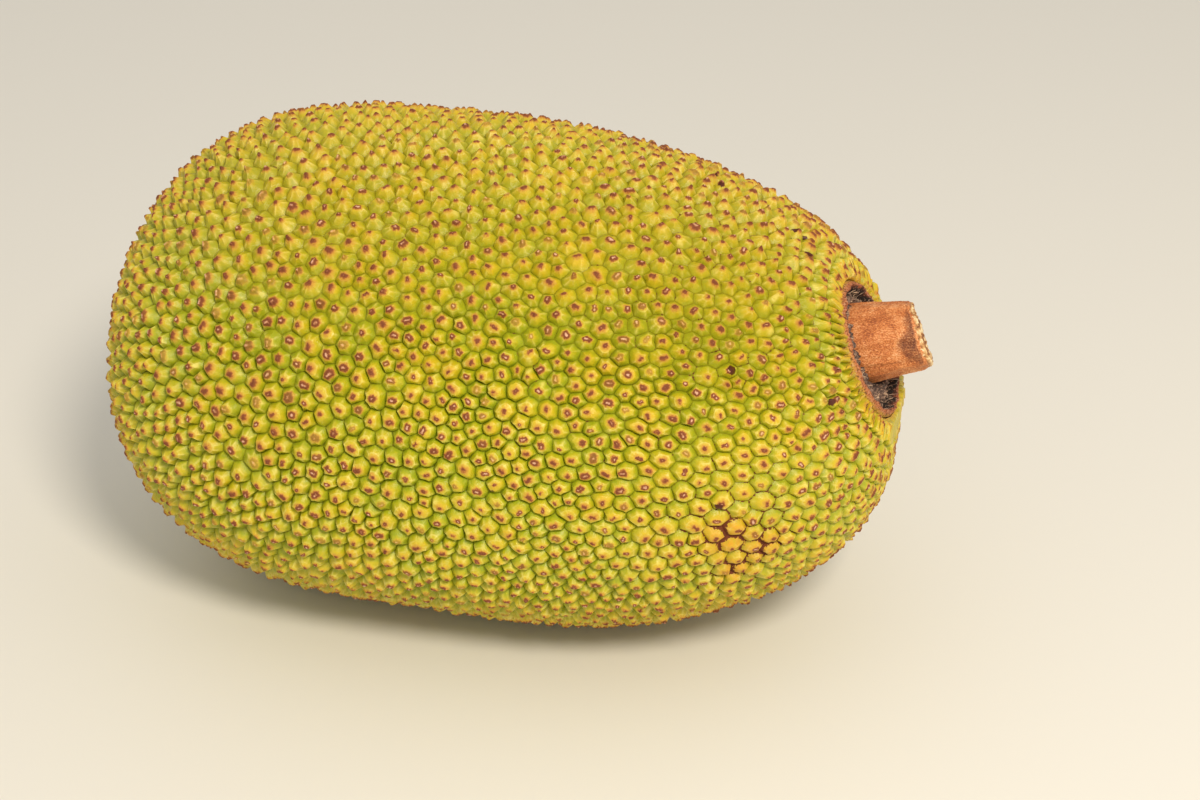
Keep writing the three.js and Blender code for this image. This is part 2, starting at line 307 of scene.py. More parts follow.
def spacing_at(points):
    along, apart = np.array(SPACING).T * MM
    spacing = np.interp(points[..., 0], along, apart)
    for place, reach, extra in WIDE_SPOTS:
        away = np.linalg.norm(points - np.array(place) * MM, axis=-1) / (reach * MM)
        spacing = spacing + extra * MM * np.exp(-away ** 2)
    return spacing


def beside_pit(distance, bearing):
    """The direction from the heart in which the body lies, that far from the pit's axis."""
    side, down = distance * np.cos(bearing), distance * np.sin(bearing)
    local = np.stack([side, np.zeros_like(bearing), down], -1)
    for _ in range(SETTLING_ROUNDS):
        direction = unit(out_of_pit(local))
        local[:, 1] = into_pit(body_point(direction))[:, 1]
    return direction


def pit_rows():
    """The rows, after the mirrored centres inside the rim that end the first row on the rim."""
    first, many = PIT_ROWS[0]
    inside = [*INSIDE_ROWS, (2 * PIT_RADIUS / MM - first, many)]
    rows = []
    shared_jitter = None
    for distance, count in inside + PIT_ROWS:
        if count != many or shared_jitter is None:
            jitter = draw.uniform(-ROW_JITTER, ROW_JITTER, count)
            shared_jitter = jitter if count == many else None
        bearing = (np.arange(count) + jitter) / count * math.tau
        is_free = distance > first
        uneven = draw.uniform(-ROW_UNEVENNESS, ROW_UNEVENNESS, count) * is_free
        bearing = bearing + draw.uniform(-ROW_SHIFT, ROW_SHIFT, count) / count * math.tau * is_free
        rows.append(beside_pit(distance * MM + uneven, bearing))
    return np.concatenate(rows), sum(count for _, count in inside)


row_centres, inside_count = pit_rows()
print("centres set in rows round the pit:", len(row_centres) - inside_count)


# %% Throwing the other centres
ROOM = 0.75  # the least distance of two centres, as a share of the spacing
TRIES = 80000
TRY_JITTER = 0.004  # as a share of the distance from the heart, so that the tries show no spiral
ROW_CLEARANCE = 4.4 * MM


def throw_centres(fixed):
    k = np.arange(TRIES) + 0.5
    up = 1 - 2 * k / TRIES
    turn = k * math.pi * (3 - math.sqrt(5))
    level = np.sqrt(1 - up * up)
    tries = np.stack([up, level * np.cos(turn), level * np.sin(turn)], -1)
    tries = draw.permutation(unit(tries + draw.normal(scale=TRY_JITTER, size=tries.shape)))
    places = body_point(tries)
    clear = (places[:, 0] < 0) | (from_pit_axis(places) > PIT_ROWS[-1][0] * MM + ROW_CLEARANCE)
    tries, places = tries[clear], places[clear]
    room = spacing_at(places) * ROOM
    kept = np.empty((len(tries) + len(fixed), 3))
    kept[:len(fixed)] = body_point(fixed)
    count = len(fixed)
    chosen = []
    for i, place in enumerate(places):
        gaps = kept[:count] - place
        if np.einsum("ij,ij->i", gaps, gaps).min() > room[i] ** 2:
            kept[count] = place
            count += 1
            chosen.append(i)
    return np.concatenate([fixed, tries[chosen]])


def neighbour_triangles(directions):
    """Triangles of neighbours all round the body, anticlockwise from outside.

    Seen from the last centre, the other centres spread out flat, and neighbours stay neighbours. The
    last centre closes the open edges of that flat net.
    """
    eye = directions[-1]
    right = unit(np.cross(eye, [0.3, 0.5, 0.8]))
    up = np.cross(eye, right)
    others = directions[:-1]
    flat = np.stack([others @ right, others @ up], -1) / (1 - others @ eye)[:, None]
    net = delaunay_2d_cdt([Vector(p) for p in flat], [], [], 0, 1e-12)
    source = np.array([sources[0] for sources in net[3]])
    found = source[np.array(net[2])][:, ::-1]
    edges = np.concatenate([found[:, [0, 1]], found[:, [1, 2]], found[:, [2, 0]]])
    open_edges = edges[~np.isin(edges @ [1, len(directions)], edges @ [len(directions), 1])]
    closing = np.column_stack([open_edges[:, ::-1], np.full(len(open_edges), len(others))])
    return np.concatenate([found, closing])


def even_out(directions, fixed_count):
    """Moves each free centre to the middle of the ground round it."""
    places = skin_point(directions)
    corners = neighbour_triangles(directions)
    a, b, c = (places[corners[:, i]] for i in range(3))
    ground = np.linalg.norm(np.cross(b - a, c - a), axis=1, keepdims=True)
    sums = np.zeros_like(places)
    for i in range(3):
        np.add.at(sums, corners[:, i], (a + b + c) * ground)
    moved = unit(sums)
    moved[:fixed_count] = directions[:fixed_count]
    return moved


EVENING_ROUNDS = 8
centres = throw_centres(row_centres)
for _ in range(EVENING_ROUNDS):
    centres = even_out(centres, len(row_centres))
print("tubercles:", len(centres) - inside_count)


# %% [markdown]
# ## Valleys, and the shape of one tubercle
# Each tubercle owns the ground that is nearer to it than to any other, so its foot is a polygon
# whose corners are the points between three tubercles. A brush or a displacement map would round
# everything off. Here every foot is filled with rings that shrink towards the tip: steep flanks up
# to a shoulder, and a gentler top from there to the tip. The ridges between the flanks come out of
# the mesh itself. Where the fruit swelled most the shoulder is far out, which makes flat plates.
# At both ends, along the top and underneath it is far in, which makes cones.

# %% Who touches whom
triangles = neighbour_triangles(centres)
half_from = triangles.ravel()
half_to = np.roll(triangles, -1, axis=1).ravel()
half_count = len(half_from)
by_ends = np.argsort(half_from * len(centres) + half_to)
by_turned_ends = np.argsort(half_to * len(centres) + half_from)
twin = np.empty(half_count, int)
twin[by_ends] = by_turned_ends
triangle_of = np.arange(half_count) // 3
next_round = twin[triangle_of * 3 + (np.arange(half_count) + 2) % 3]  # round the same tubercle
is_inside = np.arange(len(centres)) < inside_count


def skin_normal(d):
    """Outward normals of the skin."""
    aside = unit(np.cross(d, [0.21, 0.56, 0.8]))
    beyond = np.cross(d, aside)
    step = 0.004
    here = skin_point(d)
    run_aside, run_beyond = (skin_point(unit(d + way * step)) - here for way in (aside, beyond))
    return unit(np.cross(run_aside, run_beyond))


# %% Where the valleys run
CORNER_PULL = (0.35, 0.75)  # between the middle of three tips and the point equally far from them
RIM_CLEARANCE = 0.1 * MM
VALLEY_PIECES = (2.9 * MM, 6.4 * MM)  # a valley longer than these is made of 2 or 3 pieces
VALLEY_WANDER = 0.24 * MM


def onto_rim(points, on_rim):
    """Puts the corners between the pit and its first row on the rim itself."""
    local = into_pit(points[on_rim])
    away = np.hypot(local[:, 0], local[:, 2])[:, None]
    reach = PIT_RADIUS + RIM_CLEARANCE + draw.uniform(0, 0.35, (len(local), 1)) * MM
    local = local * np.where([True, False, True], reach / away, 1)
    points[on_rim] = out_of_pit(local)


a, b, c = (centres[triangles[:, i]] for i in range(3))
pull = draw.uniform(*CORNER_PULL, (len(triangles), 1))
corner_directions = unit((1 - pull) * unit(a + b + c) + pull * unit(np.cross(b - a, c - a)))
corner_places = skin_point(corner_directions)
inside_corners = is_inside[triangles].sum(1)
corner_on_rim = (inside_corners > 0) & (inside_corners < 3)
onto_rim(corner_places, corner_on_rim)

start_corner, end_corner = triangle_of[twin], triangle_of
lengths = np.linalg.norm(corner_places[end_corner] - corner_places[start_corner], axis=1)
pieces_of = 1 + (lengths > VALLEY_PIECES[0]) + (lengths > VALLEY_PIECES[1])
is_first = np.arange(half_count) < twin
first_halves = np.flatnonzero(is_first)
between_counts = pieces_of[first_halves] - 1
between_start = np.zeros(half_count, int)
between_start[first_halves] = np.cumsum(between_counts) - between_counts
between_start[twin[first_halves]] = between_start[first_halves]

owner = np.repeat(first_halves, between_counts)
step_along = np.arange(len(owner)) - between_start[owner] + 1
share = (step_along / pieces_of[owner])[:, None]
between = corner_places[start_corner[owner]] * (1 - share) + corner_places[end_corner[owner]] * share
on_rim = is_inside[half_from[owner]] != is_inside[half_to[owner]]
between += draw.normal(scale=VALLEY_WANDER, size=between.shape) * ~on_rim[:, None]
valley_directions = unit(np.concatenate([corner_places, between]))
valley_places = skin_point(valley_directions)
rim_points = np.concatenate([corner_on_rim, on_rim])
onto_rim(valley_places, rim_points)
print("valleys:", len(first_halves), "with", len(valley_places), "points")


# %% Spokes from the valleys to the tips
# A spoke runs from one point of a valley up to the tip of the tubercle beside it.
spoke_starts = np.cumsum(pieces_of) - pieces_of
spoke_half = np.repeat(np.arange(half_count), pieces_of)
spoke_step = np.arange(len(spoke_half)) - spoke_starts[spoke_half]
spoke_owner = half_from[spoke_half]
is_last_spoke = spoke_step == pieces_of[spoke_half] - 1
spokes = np.arange(len(spoke_half))
spoke_next = np.where(is_last_spoke, spoke_starts[next_round[spoke_half]], spokes + 1)
steps_from_first = np.where(is_first[spoke_half], spoke_step, pieces_of[spoke_half] - spoke_step) - 1
spoke_valley = np.where(
    spoke_step == 0,
    start_corner[spoke_half],
    len(corner_places) + between_start[spoke_half] + steps_from_first,
)
print("spokes:", len(spokes))

# %% Each tubercle's own height, lean and sharpness
# Rings are given as the share that is still left, of the flank up to the shoulder or of the top.
FLANK_RINGS = [0.7, 0.34, 0.06]
TOP_RINGS = [0.88, 0.6, 0.34, 0.13]
SHOULDER = (0.64, 0.28)  # how far out the shoulder of a plate and of a cone is
SHOULDER_SPREAD = (0.9, 1.1)
SHARP_EVERYWHERE = 0.14  # 0 makes a plate and 1 a cone
SHARP_AT_BLOSSOM = 0.42
SHARP_AT_GROUND = 0.42
SHARP_AT_TOP = 0.6
SHARP_AT_STALK = 0.2
SHARP_SPREAD = 0.15
HEIGHT_SPREAD = (0.8, 1.12)
RIM_HEIGHTS = (0.5, 0.85)  # beside the pit
LEAN = 0.12  # how far a tip stands off the middle, as a share of the foot's radius
STALK_LEAN = 0.14  # towards the stalk
RIM_LEAN = 0.3  # how much of that is left beside the pit
VALLEY_DEPTH = 0.35 * MM

tip_directions = centres.copy()
tip_places = skin_point(tip_directions)
tip_normals = skin_normal(tip_directions)
free = free_of_pit(body_point(tip_directions))
spoke_reach = np.linalg.norm(valley_places[spoke_valley] - tip_places[spoke_owner], axis=1)
foot_radius = np.bincount(spoke_owner, spoke_reach) / np.bincount(spoke_owner)

towards_blossom = smoothstep(-tip_places[:, 0], -30 * MM, 120 * MM)
towards_top = smoothstep(tip_places[:, 2], 25 * MM, 90 * MM)
towards_ground = smoothstep(-tip_places[:, 2], 18 * MM, 65 * MM)
towards_stalk = smoothstep(tip_places[:, 0], 120 * MM, 190 * MM)
sharpness = SHARP_EVERYWHERE + SHARP_AT_BLOSSOM * towards_blossom + SHARP_AT_GROUND * towards_ground
sharpness = sharpness + SHARP_AT_TOP * towards_top + SHARP_AT_STALK * towards_stalk
sharpness = np.clip(sharpness + draw.normal(scale=SHARP_SPREAD, size=len(centres)), 0, 1)
shoulders = SHOULDER[0] * (1 - sharpness) + SHOULDER[1] * sharpness
spoke_shoulder = shoulders[spoke_owner] * draw.uniform(*SHOULDER_SPREAD, len(spoke_owner))
tip_heights = TUBERCLE_HEIGHT * draw.uniform(*HEIGHT_SPREAD, len(centres)) * relief(tip_places)
rim_heights = TUBERCLE_HEIGHT * draw.uniform(*RIM_HEIGHTS, len(centres))
tip_heights = tip_heights * free + rim_heights * (1 - free)
lean = draw.normal(scale=LEAN, size=centres.shape) + towards_stalk[:, None] * [STALK_LEAN, 0, 0]
lean *= (foot_radius * (RIM_LEAN + (1 - RIM_LEAN) * free))[:, None]
tip_places = skin_point(unit(tip_places + lean))

print("mean foot radius in mm:", round(foot_radius[inside_count:].mean() / MM, 2))

# %% The ridge that ends each tubercle
# It is short, and long in the first row, where it points at the pit.
LONG_RIDGE = 3.2 * MM  # half of its length, in the first row
SHORT_RIDGE = 0.22  # half of the longest elsewhere, as a share of the foot's radius

first_row = ~is_inside & (np.arange(len(centres)) < inside_count + PIT_ROWS[0][1])
tangled = draw.normal(size=centres.shape)
to_pit = out_of_pit(np.zeros(3)) - tip_places
near_pit = 1 - smoothstep(from_pit_axis(tip_places), 45 * MM, 80 * MM)
near_pit[tip_places[:, 0] < 0] = 0
ridge_way = unit(tangled) * (1 - near_pit)[:, None] + unit(to_pit) * (1.5 * near_pit)[:, None]
ridge_way = np.where(first_row[:, None], to_pit, ridge_way)
ridge_way = unit(ridge_way - tip_normals * (ridge_way * tip_normals).sum(1, keepdims=True))
ridge_half = foot_radius * draw.uniform(0, SHORT_RIDGE, len(centres)) * (1 + near_pit)
ridge_half = np.where(first_row, LONG_RIDGE, ridge_half)
print("long ridges:", first_row.sum())


# %% Rings from the valleys to the tips
BUD_HEIGHT = 0.05  # of the little bud on a tip, as a share of the tubercle's height
BUD_REACH = 0.4  # as a share of the way from the tip to the shoulder
PORE_REACH = 0.13
ROUNDING = 0.25  # how much rounder than its foot a tubercle is at the tip
LUMP_WIDTH = 2.6 * MM
LUMP_HEIGHT = 0.16  # mm


def profile(s, shoulder, sharp):
    """Height of a tubercle: 0 in the valley (s = 1), a steep flank, a shoulder, and 1 at the tip."""
    up_flank = np.clip((1 - s) / (1 - shoulder), 0, 1)
    up_top = np.clip(1 - s / shoulder, 0, 1)
    dip = 0.2 + 0.12 * sharp
    bud = BUD_HEIGHT * np.exp(-(s / shoulder / BUD_REACH) ** 2)
    bud = bud - BUD_HEIGHT * np.exp(-(s / shoulder / PORE_REACH) ** 2)
    return (1 - dip) * up_flank ** (0.95 + 0.2 * sharp) + dip * (1 - (1 - up_top) ** 1.4) + bud


def ring_points(s):
    """The points of one ring, for all spokes at once."""
    foot = valley_places[spoke_valley] - tip_places[spoke_owner]
    way, half = ridge_way[spoke_owner], ridge_half[spoke_owner]
    along_ridge = np.clip((foot * way).sum(1), -half, half)[:, None] * way
    foot = foot - along_ridge
    rounding = ROUNDING * (1 - s) * ~first_row[spoke_owner]
    reach = np.maximum(np.linalg.norm(foot, axis=1), 0.5 * MM)
    foot = foot * (s * (1 - rounding + rounding * foot_radius[spoke_owner] / reach))[:, None]
    ground = skin_point(unit(tip_places[spoke_owner] + along_ridge + foot))
    sharp = sharpness[spoke_owner]
    hollow = (0.12 + 0.25 * sharp) * s * (1 - s) * (spoke_step > 0) * free[spoke_owner]
    rise = tip_heights[spoke_owner] * (profile(s, spoke_shoulder, sharp) - hollow)
    rise += waves(ground, LUMP_WIDTH, 7) * LUMP_HEIGHT * MM * smoothstep(1 - s, 0, 0.3)
    return ground + tip_normals[spoke_owner] * (rise - VALLEY_DEPTH * s ** 6)[:, None]


ring_shares = [spoke_shoulder + (1 - spoke_shoulder) * share for share in FLANK_RINGS]
ring_shares += [spoke_shoulder * share for share in TOP_RINGS]
valley_depths = VALLEY_DEPTH * (0.8 + 0.5 * (np.arange(len(valley_places)) < len(corner_places)))
sunk_valleys = valley_places - skin_normal(valley_directions) * (valley_depths * ~rim_points)[:, None]
tips = tip_places + tip_normals * (tip_heights * profile(0, shoulders, sharpness))[:, None]
rings = [ring_points(s) for s in ring_shares]
print("points in one ring:", len(rings[0]))

# %% [markdown]
# ## Five gores
# One mesh of the whole rind would be heavy to handle, so it is cut along valleys into five
# lengthwise gores, like the gores of a ball. Nothing shows: neighbours share the same valley
# points. Each gore is a closed shell with an inner side, so it has a true thickness. The map laid
# on a gore runs along the fruit, so that a baked picture spends its pixels evenly.

# %% One list of points
RIND_DEPTH = 7.5 * MM
CLEARANCE = 0.05 * MM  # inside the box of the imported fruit

inward = -skin_normal(corner_directions)
inward[corner_on_rim] = -pit_axis
inner_corners = corner_places + inward * RIND_DEPTH
inner_middles = skin_point(centres) - tip_normals * RIND_DEPTH
parts = [sunk_valleys, *rings, tips, inner_corners, inner_middles]
part_starts = np.cumsum([0] + [len(part) for part in parts])
first_tip, first_inner_corner, first_inner_middle = part_starts[-4:-1]
rind_points = np.concatenate(parts) + HEART
outside_box = ((rind_points < fruit_low) | (rind_points > fruit_high)).any(1)
print("points brought inside the packed fruit's box:", outside_box.sum())
rind_points = np.clip(rind_points, fruit_low + [CLEARANCE, CLEARANCE, 0], fruit_high - CLEARANCE)

# %% One list of faces
ring_ids = [spoke_valley] + [part_starts[1 + i] + spokes for i in range(len(rings))]
quads = np.concatenate([
    np.column_stack([outer, outer[spoke_next], inner[spoke_next], inner])
    for outer, inner in zip(ring_ids, ring_ids[1:])
])
quad_owner = np.tile(spoke_owner, len(rings))
tip_faces = np.column_stack([ring_ids[-1], ring_ids[-1][spoke_next], first_tip + spoke_owner])
inner_faces = np.column_stack([
    first_inner_corner + end_corner, first_inner_corner + start_corner, first_inner_middle + half_from,
])
print("faces:", len(quads) + len(tip_faces) + len(inner_faces))

# %% Spots with a look of their own
# Spots are given as a place from the heart and a reach, in mm.
BIG_MARK_SPOTS = [((-45, -85, 55), 62)]
SCAR_SPOTS = [((160, -84, -14), 11), ((172, -74, -22), 10), ((163, -78, -34), 8)]
CORK_SPOTS = [((160, -84, -12), 34), ((166, -62, -45), 40), ((168, 60, 30), 40)]
SCAB_SPOTS = [
    ((157, -71, 55.9), 2.2), ((195.3, -54.2, 37.3), 2.2), ((66.6, -106.6, 5.5), 1.5),
    ((157.2, -88.5, 2.7), 2.0), ((167, 2, 85), 1.9), ((171, 4, 81), 1.7), ((175, -8, 80.5), 2.0),
    ((168.5, 13, 84), 1.6), ((133, 10, 98), 1.7), ((129, 16, 99.5), 1.7), ((-60, 92, 44), 2.4),
    ((96, 90, -30), 2.0),
]


def near_spots(points, spots):
    """1 at a spot, falling to 0 round it."""
    mask = np.zeros(len(points))
    for place, reach in spots:
        away = np.linalg.norm(points - HEART - np.array(place) * MM, axis=1) / (reach * MM)
        mask = np.maximum(mask, np.exp(-away ** 4))
    return mask


scar = near_spots(rind_points, SCAR_SPOTS)
print("points in the scar:", (scar > 0.5).sum())

# %% How far each point is from its tip and from its valley
from_tip, from_valley, on_ridge = np.zeros((3, len(rind_points)))
up_flank = np.zeros(len(rind_points))  # 0 in the valley, 1 at the shoulder, 2 at the tip
mark_shift = draw.uniform(-0.2, 1.1, len(centres)) * ridge_half * first_row
mark_places = tips + HEART + ridge_way * mark_shift[:, None]
climbs = [1 - share for share in FLANK_RINGS] + [2 - share for share in TOP_RINGS]
way, half = ridge_way[spoke_owner], ridge_half[spoke_owner]
for s, climb, ids in zip([1, *ring_shares], [0, *climbs], ring_ids):
    away = rind_points[ids] - mark_places[spoke_owner]
    along_ridge = np.clip((away * way).sum(1), -half, half)
    away -= way * (along_ridge * 0.8 * ~first_row[spoke_owner])[:, None]
    from_tip[ids] = np.linalg.norm(away, axis=1)
    from_valley[ids] = (1 - s) * foot_radius[spoke_owner]
    up_flank[ids] = climb
at_tips = slice(first_tip, first_inner_corner)
from_tip[at_tips], from_valley[at_tips], up_flank[at_tips] = np.abs(mark_shift), foot_radius, 2
print("furthest from a tip in mm:", round(from_tip.max() / MM, 1))

# %% Which edges stay crisp
PLATE_SHARPNESS = 0.5  # below this a tubercle is a plate, with a crisp edge round its top
CRISP_RIDGES = 0.75  # how many of the ridges between two flanks stay crisp

crease = np.full(len(rind_points), -1)  # points with the same number are joined by a crisp edge
has_crisp_ridge = (spoke_step == 0) & (draw.uniform(size=len(spoke_step)) < CRISP_RIDGES)
for s, ids in zip(ring_shares, ring_ids[1:]):
    # on_ridge places the painted highlight that the finish lays along the ridges.
    on_ridge[ids] = (spoke_step == 0) * smoothstep(s, 0.1, 0.4) * smoothstep(1 - s, 0, 0.25)
    crease[ids] = np.where(has_crisp_ridge, spokes, -1)
shoulder_ids = ring_ids[len(FLANK_RINGS)]
is_plate = (sharpness < PLATE_SHARPNESS)[spoke_owner]
crease[shoulder_ids] = np.where(is_plate, len(spokes) + 1 + spoke_owner, crease[shoulder_ids])
crease[:len(valley_places)] = len(spokes)
print("crisp ridges:", has_crisp_ridge.sum())

# %% Marks, cork and ripeness
MARK_SIZES = (0.85 * MM, 1.6 * MM)
PIT_TINT_WIDTH = 3.5 * MM  # of the tinted skin outside the rim

# Marks are bigger where the rind is crusty and on top, and smaller underneath.
own_number = draw.uniform(size=len(centres))
crusty = smoothstep(tip_places[:, 0], 60 * MM, 140 * MM)
crusty = crusty * smoothstep(tip_places[:, 2], 60 * MM, 95 * MM)
mark_size = draw.uniform(*MARK_SIZES, len(centres))
mark_size *= 1 + 0.2 * crusty + 0.2 * towards_top - 0.1 * towards_ground
mark_size *= 1 + 0.45 * near_spots(tip_places + HEART, BIG_MARK_SPOTS)
swollen = smoothstep(rind_points[:, 0] - HEART[0], 60 * MM, 170 * MM)
from_axis = from_pit_axis(rind_points - HEART)
by_pit = 1 - smoothstep(from_axis, PIT_RADIUS, PIT_RADIUS + PIT_TINT_WIDTH)
by_pit[rind_points[:, 0] < HEART[0]] = 0

# Ripe at the blossom end and the swollen end, and most of all on top.
ripe = 0.3 * smoothstep(HEART[0] - rind_points[:, 0], -70 * MM, 30 * MM) + 0.5 * swollen
ripe += 0.85 * smoothstep(rind_points[:, 2] - HEART[2], 45 * MM, 100 * MM)
point_numbers = {
    "from_tip": from_tip, "from_valley": from_valley, "up_flank": up_flank, "on_ridge": on_ridge,
    "scar": scar, "scab": near_spots(rind_points, SCAB_SPOTS), "by_pit": by_pit, "ripe": ripe,
    "corky": np.maximum(scar, 0.14 + 0.08 * swollen + 0.26 * near_spots(rind_points, CORK_SPOTS)),
}
tubercle_numbers = {"mark_size": mark_size, "own_number": own_number}
print("numbers for the finish:", *point_numbers, *tubercle_numbers)

# %% Cutting the gores apart
GORE_COUNT = 5
GORE_TURN = 0.62  # of a turn, from the first gore's edge to the far side
MAP_MARGIN = 0.03
END_MARGIN = 0.08
MAP_SPREAD = 1.25  # how much wider the map is than a gore, for what strays over its edges

bearings = np.arctan2(centres[:, 2], centres[:, 1])
gore_of = np.floor((bearings / math.tau + GORE_TURN) * GORE_COUNT).astype(int) % GORE_COUNT
gore_of[is_inside] = -1


def gore_map(points, gore):
    """Places on the map of one gore: along the fruit from end to end, and across."""
    middle = ((gore + 0.5) / GORE_COUNT - GORE_TURN) * math.tau
    d = unit(points - HEART)
    towards_middle = d @ [0, math.cos(middle), math.sin(middle)]
    aside = d @ [0, -math.sin(middle), math.cos(middle)]
    along = np.arctan2(towards_middle, -d[:, 0]) / math.pi
    along = END_MARGIN + (1 - 2 * END_MARGIN) * along
    across = 0.5 + np.arcsin(np.clip(aside, -1, 1)) / (math.tau / GORE_COUNT * MAP_SPREAD)
    return MAP_MARGIN + (1 - 2 * MAP_MARGIN) * np.stack([along, across], -1)


def build_gore(gore):
    mine = gore_of == gore
    walls = []
    for count in (1, 2, 3):
        edge = np.flatnonzero(mine[half_from] & ~mine[half_to] & (pieces_of == count))
        top = [spoke_valley[spoke_starts[edge] + i] for i in range(count)] + [end_corner[edge]]
        bottom = [first_inner_corner + start_corner[edge], first_inner_corner + end_corner[edge]]
        walls.append(np.column_stack(top[::-1] + bottom))
    faces = [quads[mine[quad_owner]], tip_faces[mine[spoke_owner]], inner_faces[mine[half_from]], *walls]
    owners = [quad_owner[mine[quad_owner]], spoke_owner[mine[spoke_owner]], half_from[mine[half_from]]]
    owners += [np.full(len(wall), half_from[0]) for wall in walls]
    used = np.unique(np.concatenate([rows.ravel() for rows in faces]))
    renumber = np.zeros(len(rind_points), int)
    renumber[used] = np.arange(len(used))
    thing = new_mesh(f"rind_gore_{gore + 1}", rind_points[used], [renumber[rows] for rows in faces], 2)
    ends = np.zeros(len(thing.data.edges) * 2, int)
    thing.data.edges.foreach_get("vertices", ends)
    ends = crease[used][ends.reshape(-1, 2)]
    crisp = (ends[:, 0] == ends[:, 1]) & (ends[:, 0] >= 0)
    thing.data.attributes.new("sharp_edge", "BOOLEAN", "EDGE").data.foreach_set("value", crisp)
    for name, values in point_numbers.items():
        add_numbers(thing, name, values[used])
    for name, values in tubercle_numbers.items():
        add_numbers(thing, name, values[np.concatenate(owners)], "FACE")
    shown = faces[0].size + faces[1].size
    corner_points = np.concatenate([renumber[rows].ravel() for rows in faces])
    places = gore_map(rind_points[used], gore)[corner_points]
    places[shown:] *= MAP_MARGIN / 2
    thing.data.uv_layers.new(name="OFBake").uv.foreach_set("vector", places.astype(np.float32).ravel())
    return thing


gores = [build_gore(gore) for gore in range(GORE_COUNT)]
print("triangles in each gore:", [sum(len(p.vertices) - 2 for p in g.data.polygons) for g in gores])

# %% [markdown]
# ## The rind's finish
# The rind is living, waxy skin with a soft sheen: green in the valleys, yellow to orange on the
# tops. Where two flanks meet, and on the shoulders over some valleys, pale colour is a painted
# highlight, and the darker green line deep in each valley is the skin's own green with painted shade.
# On each tip sits the dead stub of a flower, a ragged red-brown mark with an orange halo. Brown cork
# closes old cracks in some valleys, and a few tips are crushed to dark scabs. A painted map would be
# tied to one resolution, so the colours follow what the mesh knows about itself: how far a point is
# from its tip and from its valley. Noise in real millimetres breaks up every edge.

# %% Jackfruit rind, with what the mesh knows and the noises
rind, add = new_material("waxy jackfruit rind")
place = add("TexCoord").outputs["Object"]
known = {
    name: add("Attribute", attribute_name=name).outputs["Fac"]
    for name in [*point_numbers, *tubercle_numbers]
}
noises = [(38, 2), (2.2, 3), (5, 2), (0.9, 2), (0.6, 3)]  # mm across, and how finely detailed
patches, mottle, clouds, teeth, pores = (
    add("TexNoise", {"Vector": place, "Scale": per_metre(size), "Detail": detail})
    for size, detail in noises
)
print("numbers and noises:", len(known), "and", len(noises))

# %% Skin from the valleys to the tops
# Slow patches of greener and yellower skin, and what each tubercle adds of its own.
RIND_STOPS = [  # from the valley to the top of a tubercle
    (0.0, "9ba61a"), (0.15, "afaf1a"), (0.37, "c1b41c"), (0.56, "d0b720"), (0.8, "d8b224"),
    (1.0, "dfa528"),
]

ripeness = add("Math", {0: known["own_number"], 1: 0.5, 2: patches}, operation="MULTIPLY_ADD")
ripeness = add("MapRange", {
    "Value": ripeness, "From Min": 0.35, "From Max": 1.15, "To Min": -0.64, "To Max": -0.16,
})
height = add("Math", {0: known["up_flank"], 1: 0.5, 2: ripeness}, operation="MULTIPLY_ADD")
height = add("Math", {0: mottle, 1: 0.6, 2: height}, operation="MULTIPLY_ADD")
skin = set_stops(add("ValToRGB", {"Fac": height}), RIND_STOPS)

# A darker green line at the bottom of each valley: the skin's greener colour there, deepened by painted
# shade in the crease.
valley_green_and_shade = add("MapRange", {
    "Value": known["from_valley"], "From Min": 0.12 * MM, "From Max": 0.42 * MM,
    "To Min": 0.38, "To Max": 0.0,
})

# Painted highlights: pale lines where two flanks meet, and a pale painted glint on the shoulder over
# some valleys.
pale = add("MapRange", {"Value": clouds, "From Min": 0.42, "From Max": 0.62, "To Max": 0.62})
ridge_glint = add("Math", {0: known["on_ridge"], 1: 2.2}, operation="POWER")
ridge_glint = add("Math", {0: ridge_glint, 1: pale}, operation="MULTIPLY")
off_shoulder = add("Math", {0: known["up_flank"], 1: 1.02}, operation="SUBTRACT")
off_shoulder = add("Math", {0: off_shoulder}, operation="ABSOLUTE")
shoulder_glint = add("MapRange", {"Value": off_shoulder, "From Min": 0.16, "From Max": 0.03})
shoulder_glint = add("Math", {0: shoulder_glint, 1: pale}, operation="MULTIPLY")

# The top, the swollen stalk end and the blossom end are riper, and there is an orange tint on the
# skin beside the pit and at the scar.
ripe = add("Math", {0: known["ripe"], 1: 0.13}, operation="MULTIPLY")
tint = add("Math", {0: known["by_pit"], 1: known["scar"]}, operation="MAXIMUM")
tint = add("Math", {0: tint, 1: mottle}, operation="MULTIPLY")
print("nodes so far:", len(rind.node_tree.nodes))

# %% Cork
# Brown cork that stitches some valleys, thick and with a saw-toothed edge round the scar.
CORK_WIDTH = 1.5 * MM  # to each side of a valley, where it is widest

cork_width = add("Math", {0: known["corky"], 1: clouds}, operation="ADD")
cork_width = add("Math", {0: teeth, 1: 1.3, 2: cork_width}, operation="MULTIPLY_ADD")
cork_width = add("MapRange", {
    "Value": cork_width, "From Min": 1.5, "From Max": 2.4, "To Max": CORK_WIDTH,
})
cork_edge = add("Math", {0: cork_width, 1: known["from_valley"]}, operation="SUBTRACT")
cork = add("MapRange", {"Value": cork_edge, "From Min": -0.02 * MM, "From Max": 0.1 * MM})
browner = add("Math", {0: known["corky"], 1: teeth}, operation="ADD")
browner = add("MapRange", {"Value": browner, "From Min": 0.6, "From Max": 0.95})
cork_colour = add("Mix", {
    "Factor": browner, "A": linear("9a6b40"), "B": linear("6e3415"),
}, data_type="RGBA")
print("nodes so far:", len(rind.node_tree.nodes))

# %% Marks and scabs
# A mark's ragged outline comes from shaking the distance to the tip.
MARK_STOPS = [  # from the tip out to the halo's edge
    (0.0, "dcae92"), (0.08, "b87c52"), (0.15, "773b1e"), (0.31, "864a25"), (0.38, "ac6830"),
    (0.46, "c89236"), (0.62, "cea638"),
]
MARK_RAG = 0.75 * MM  # how far the edge of a mark strays in and out

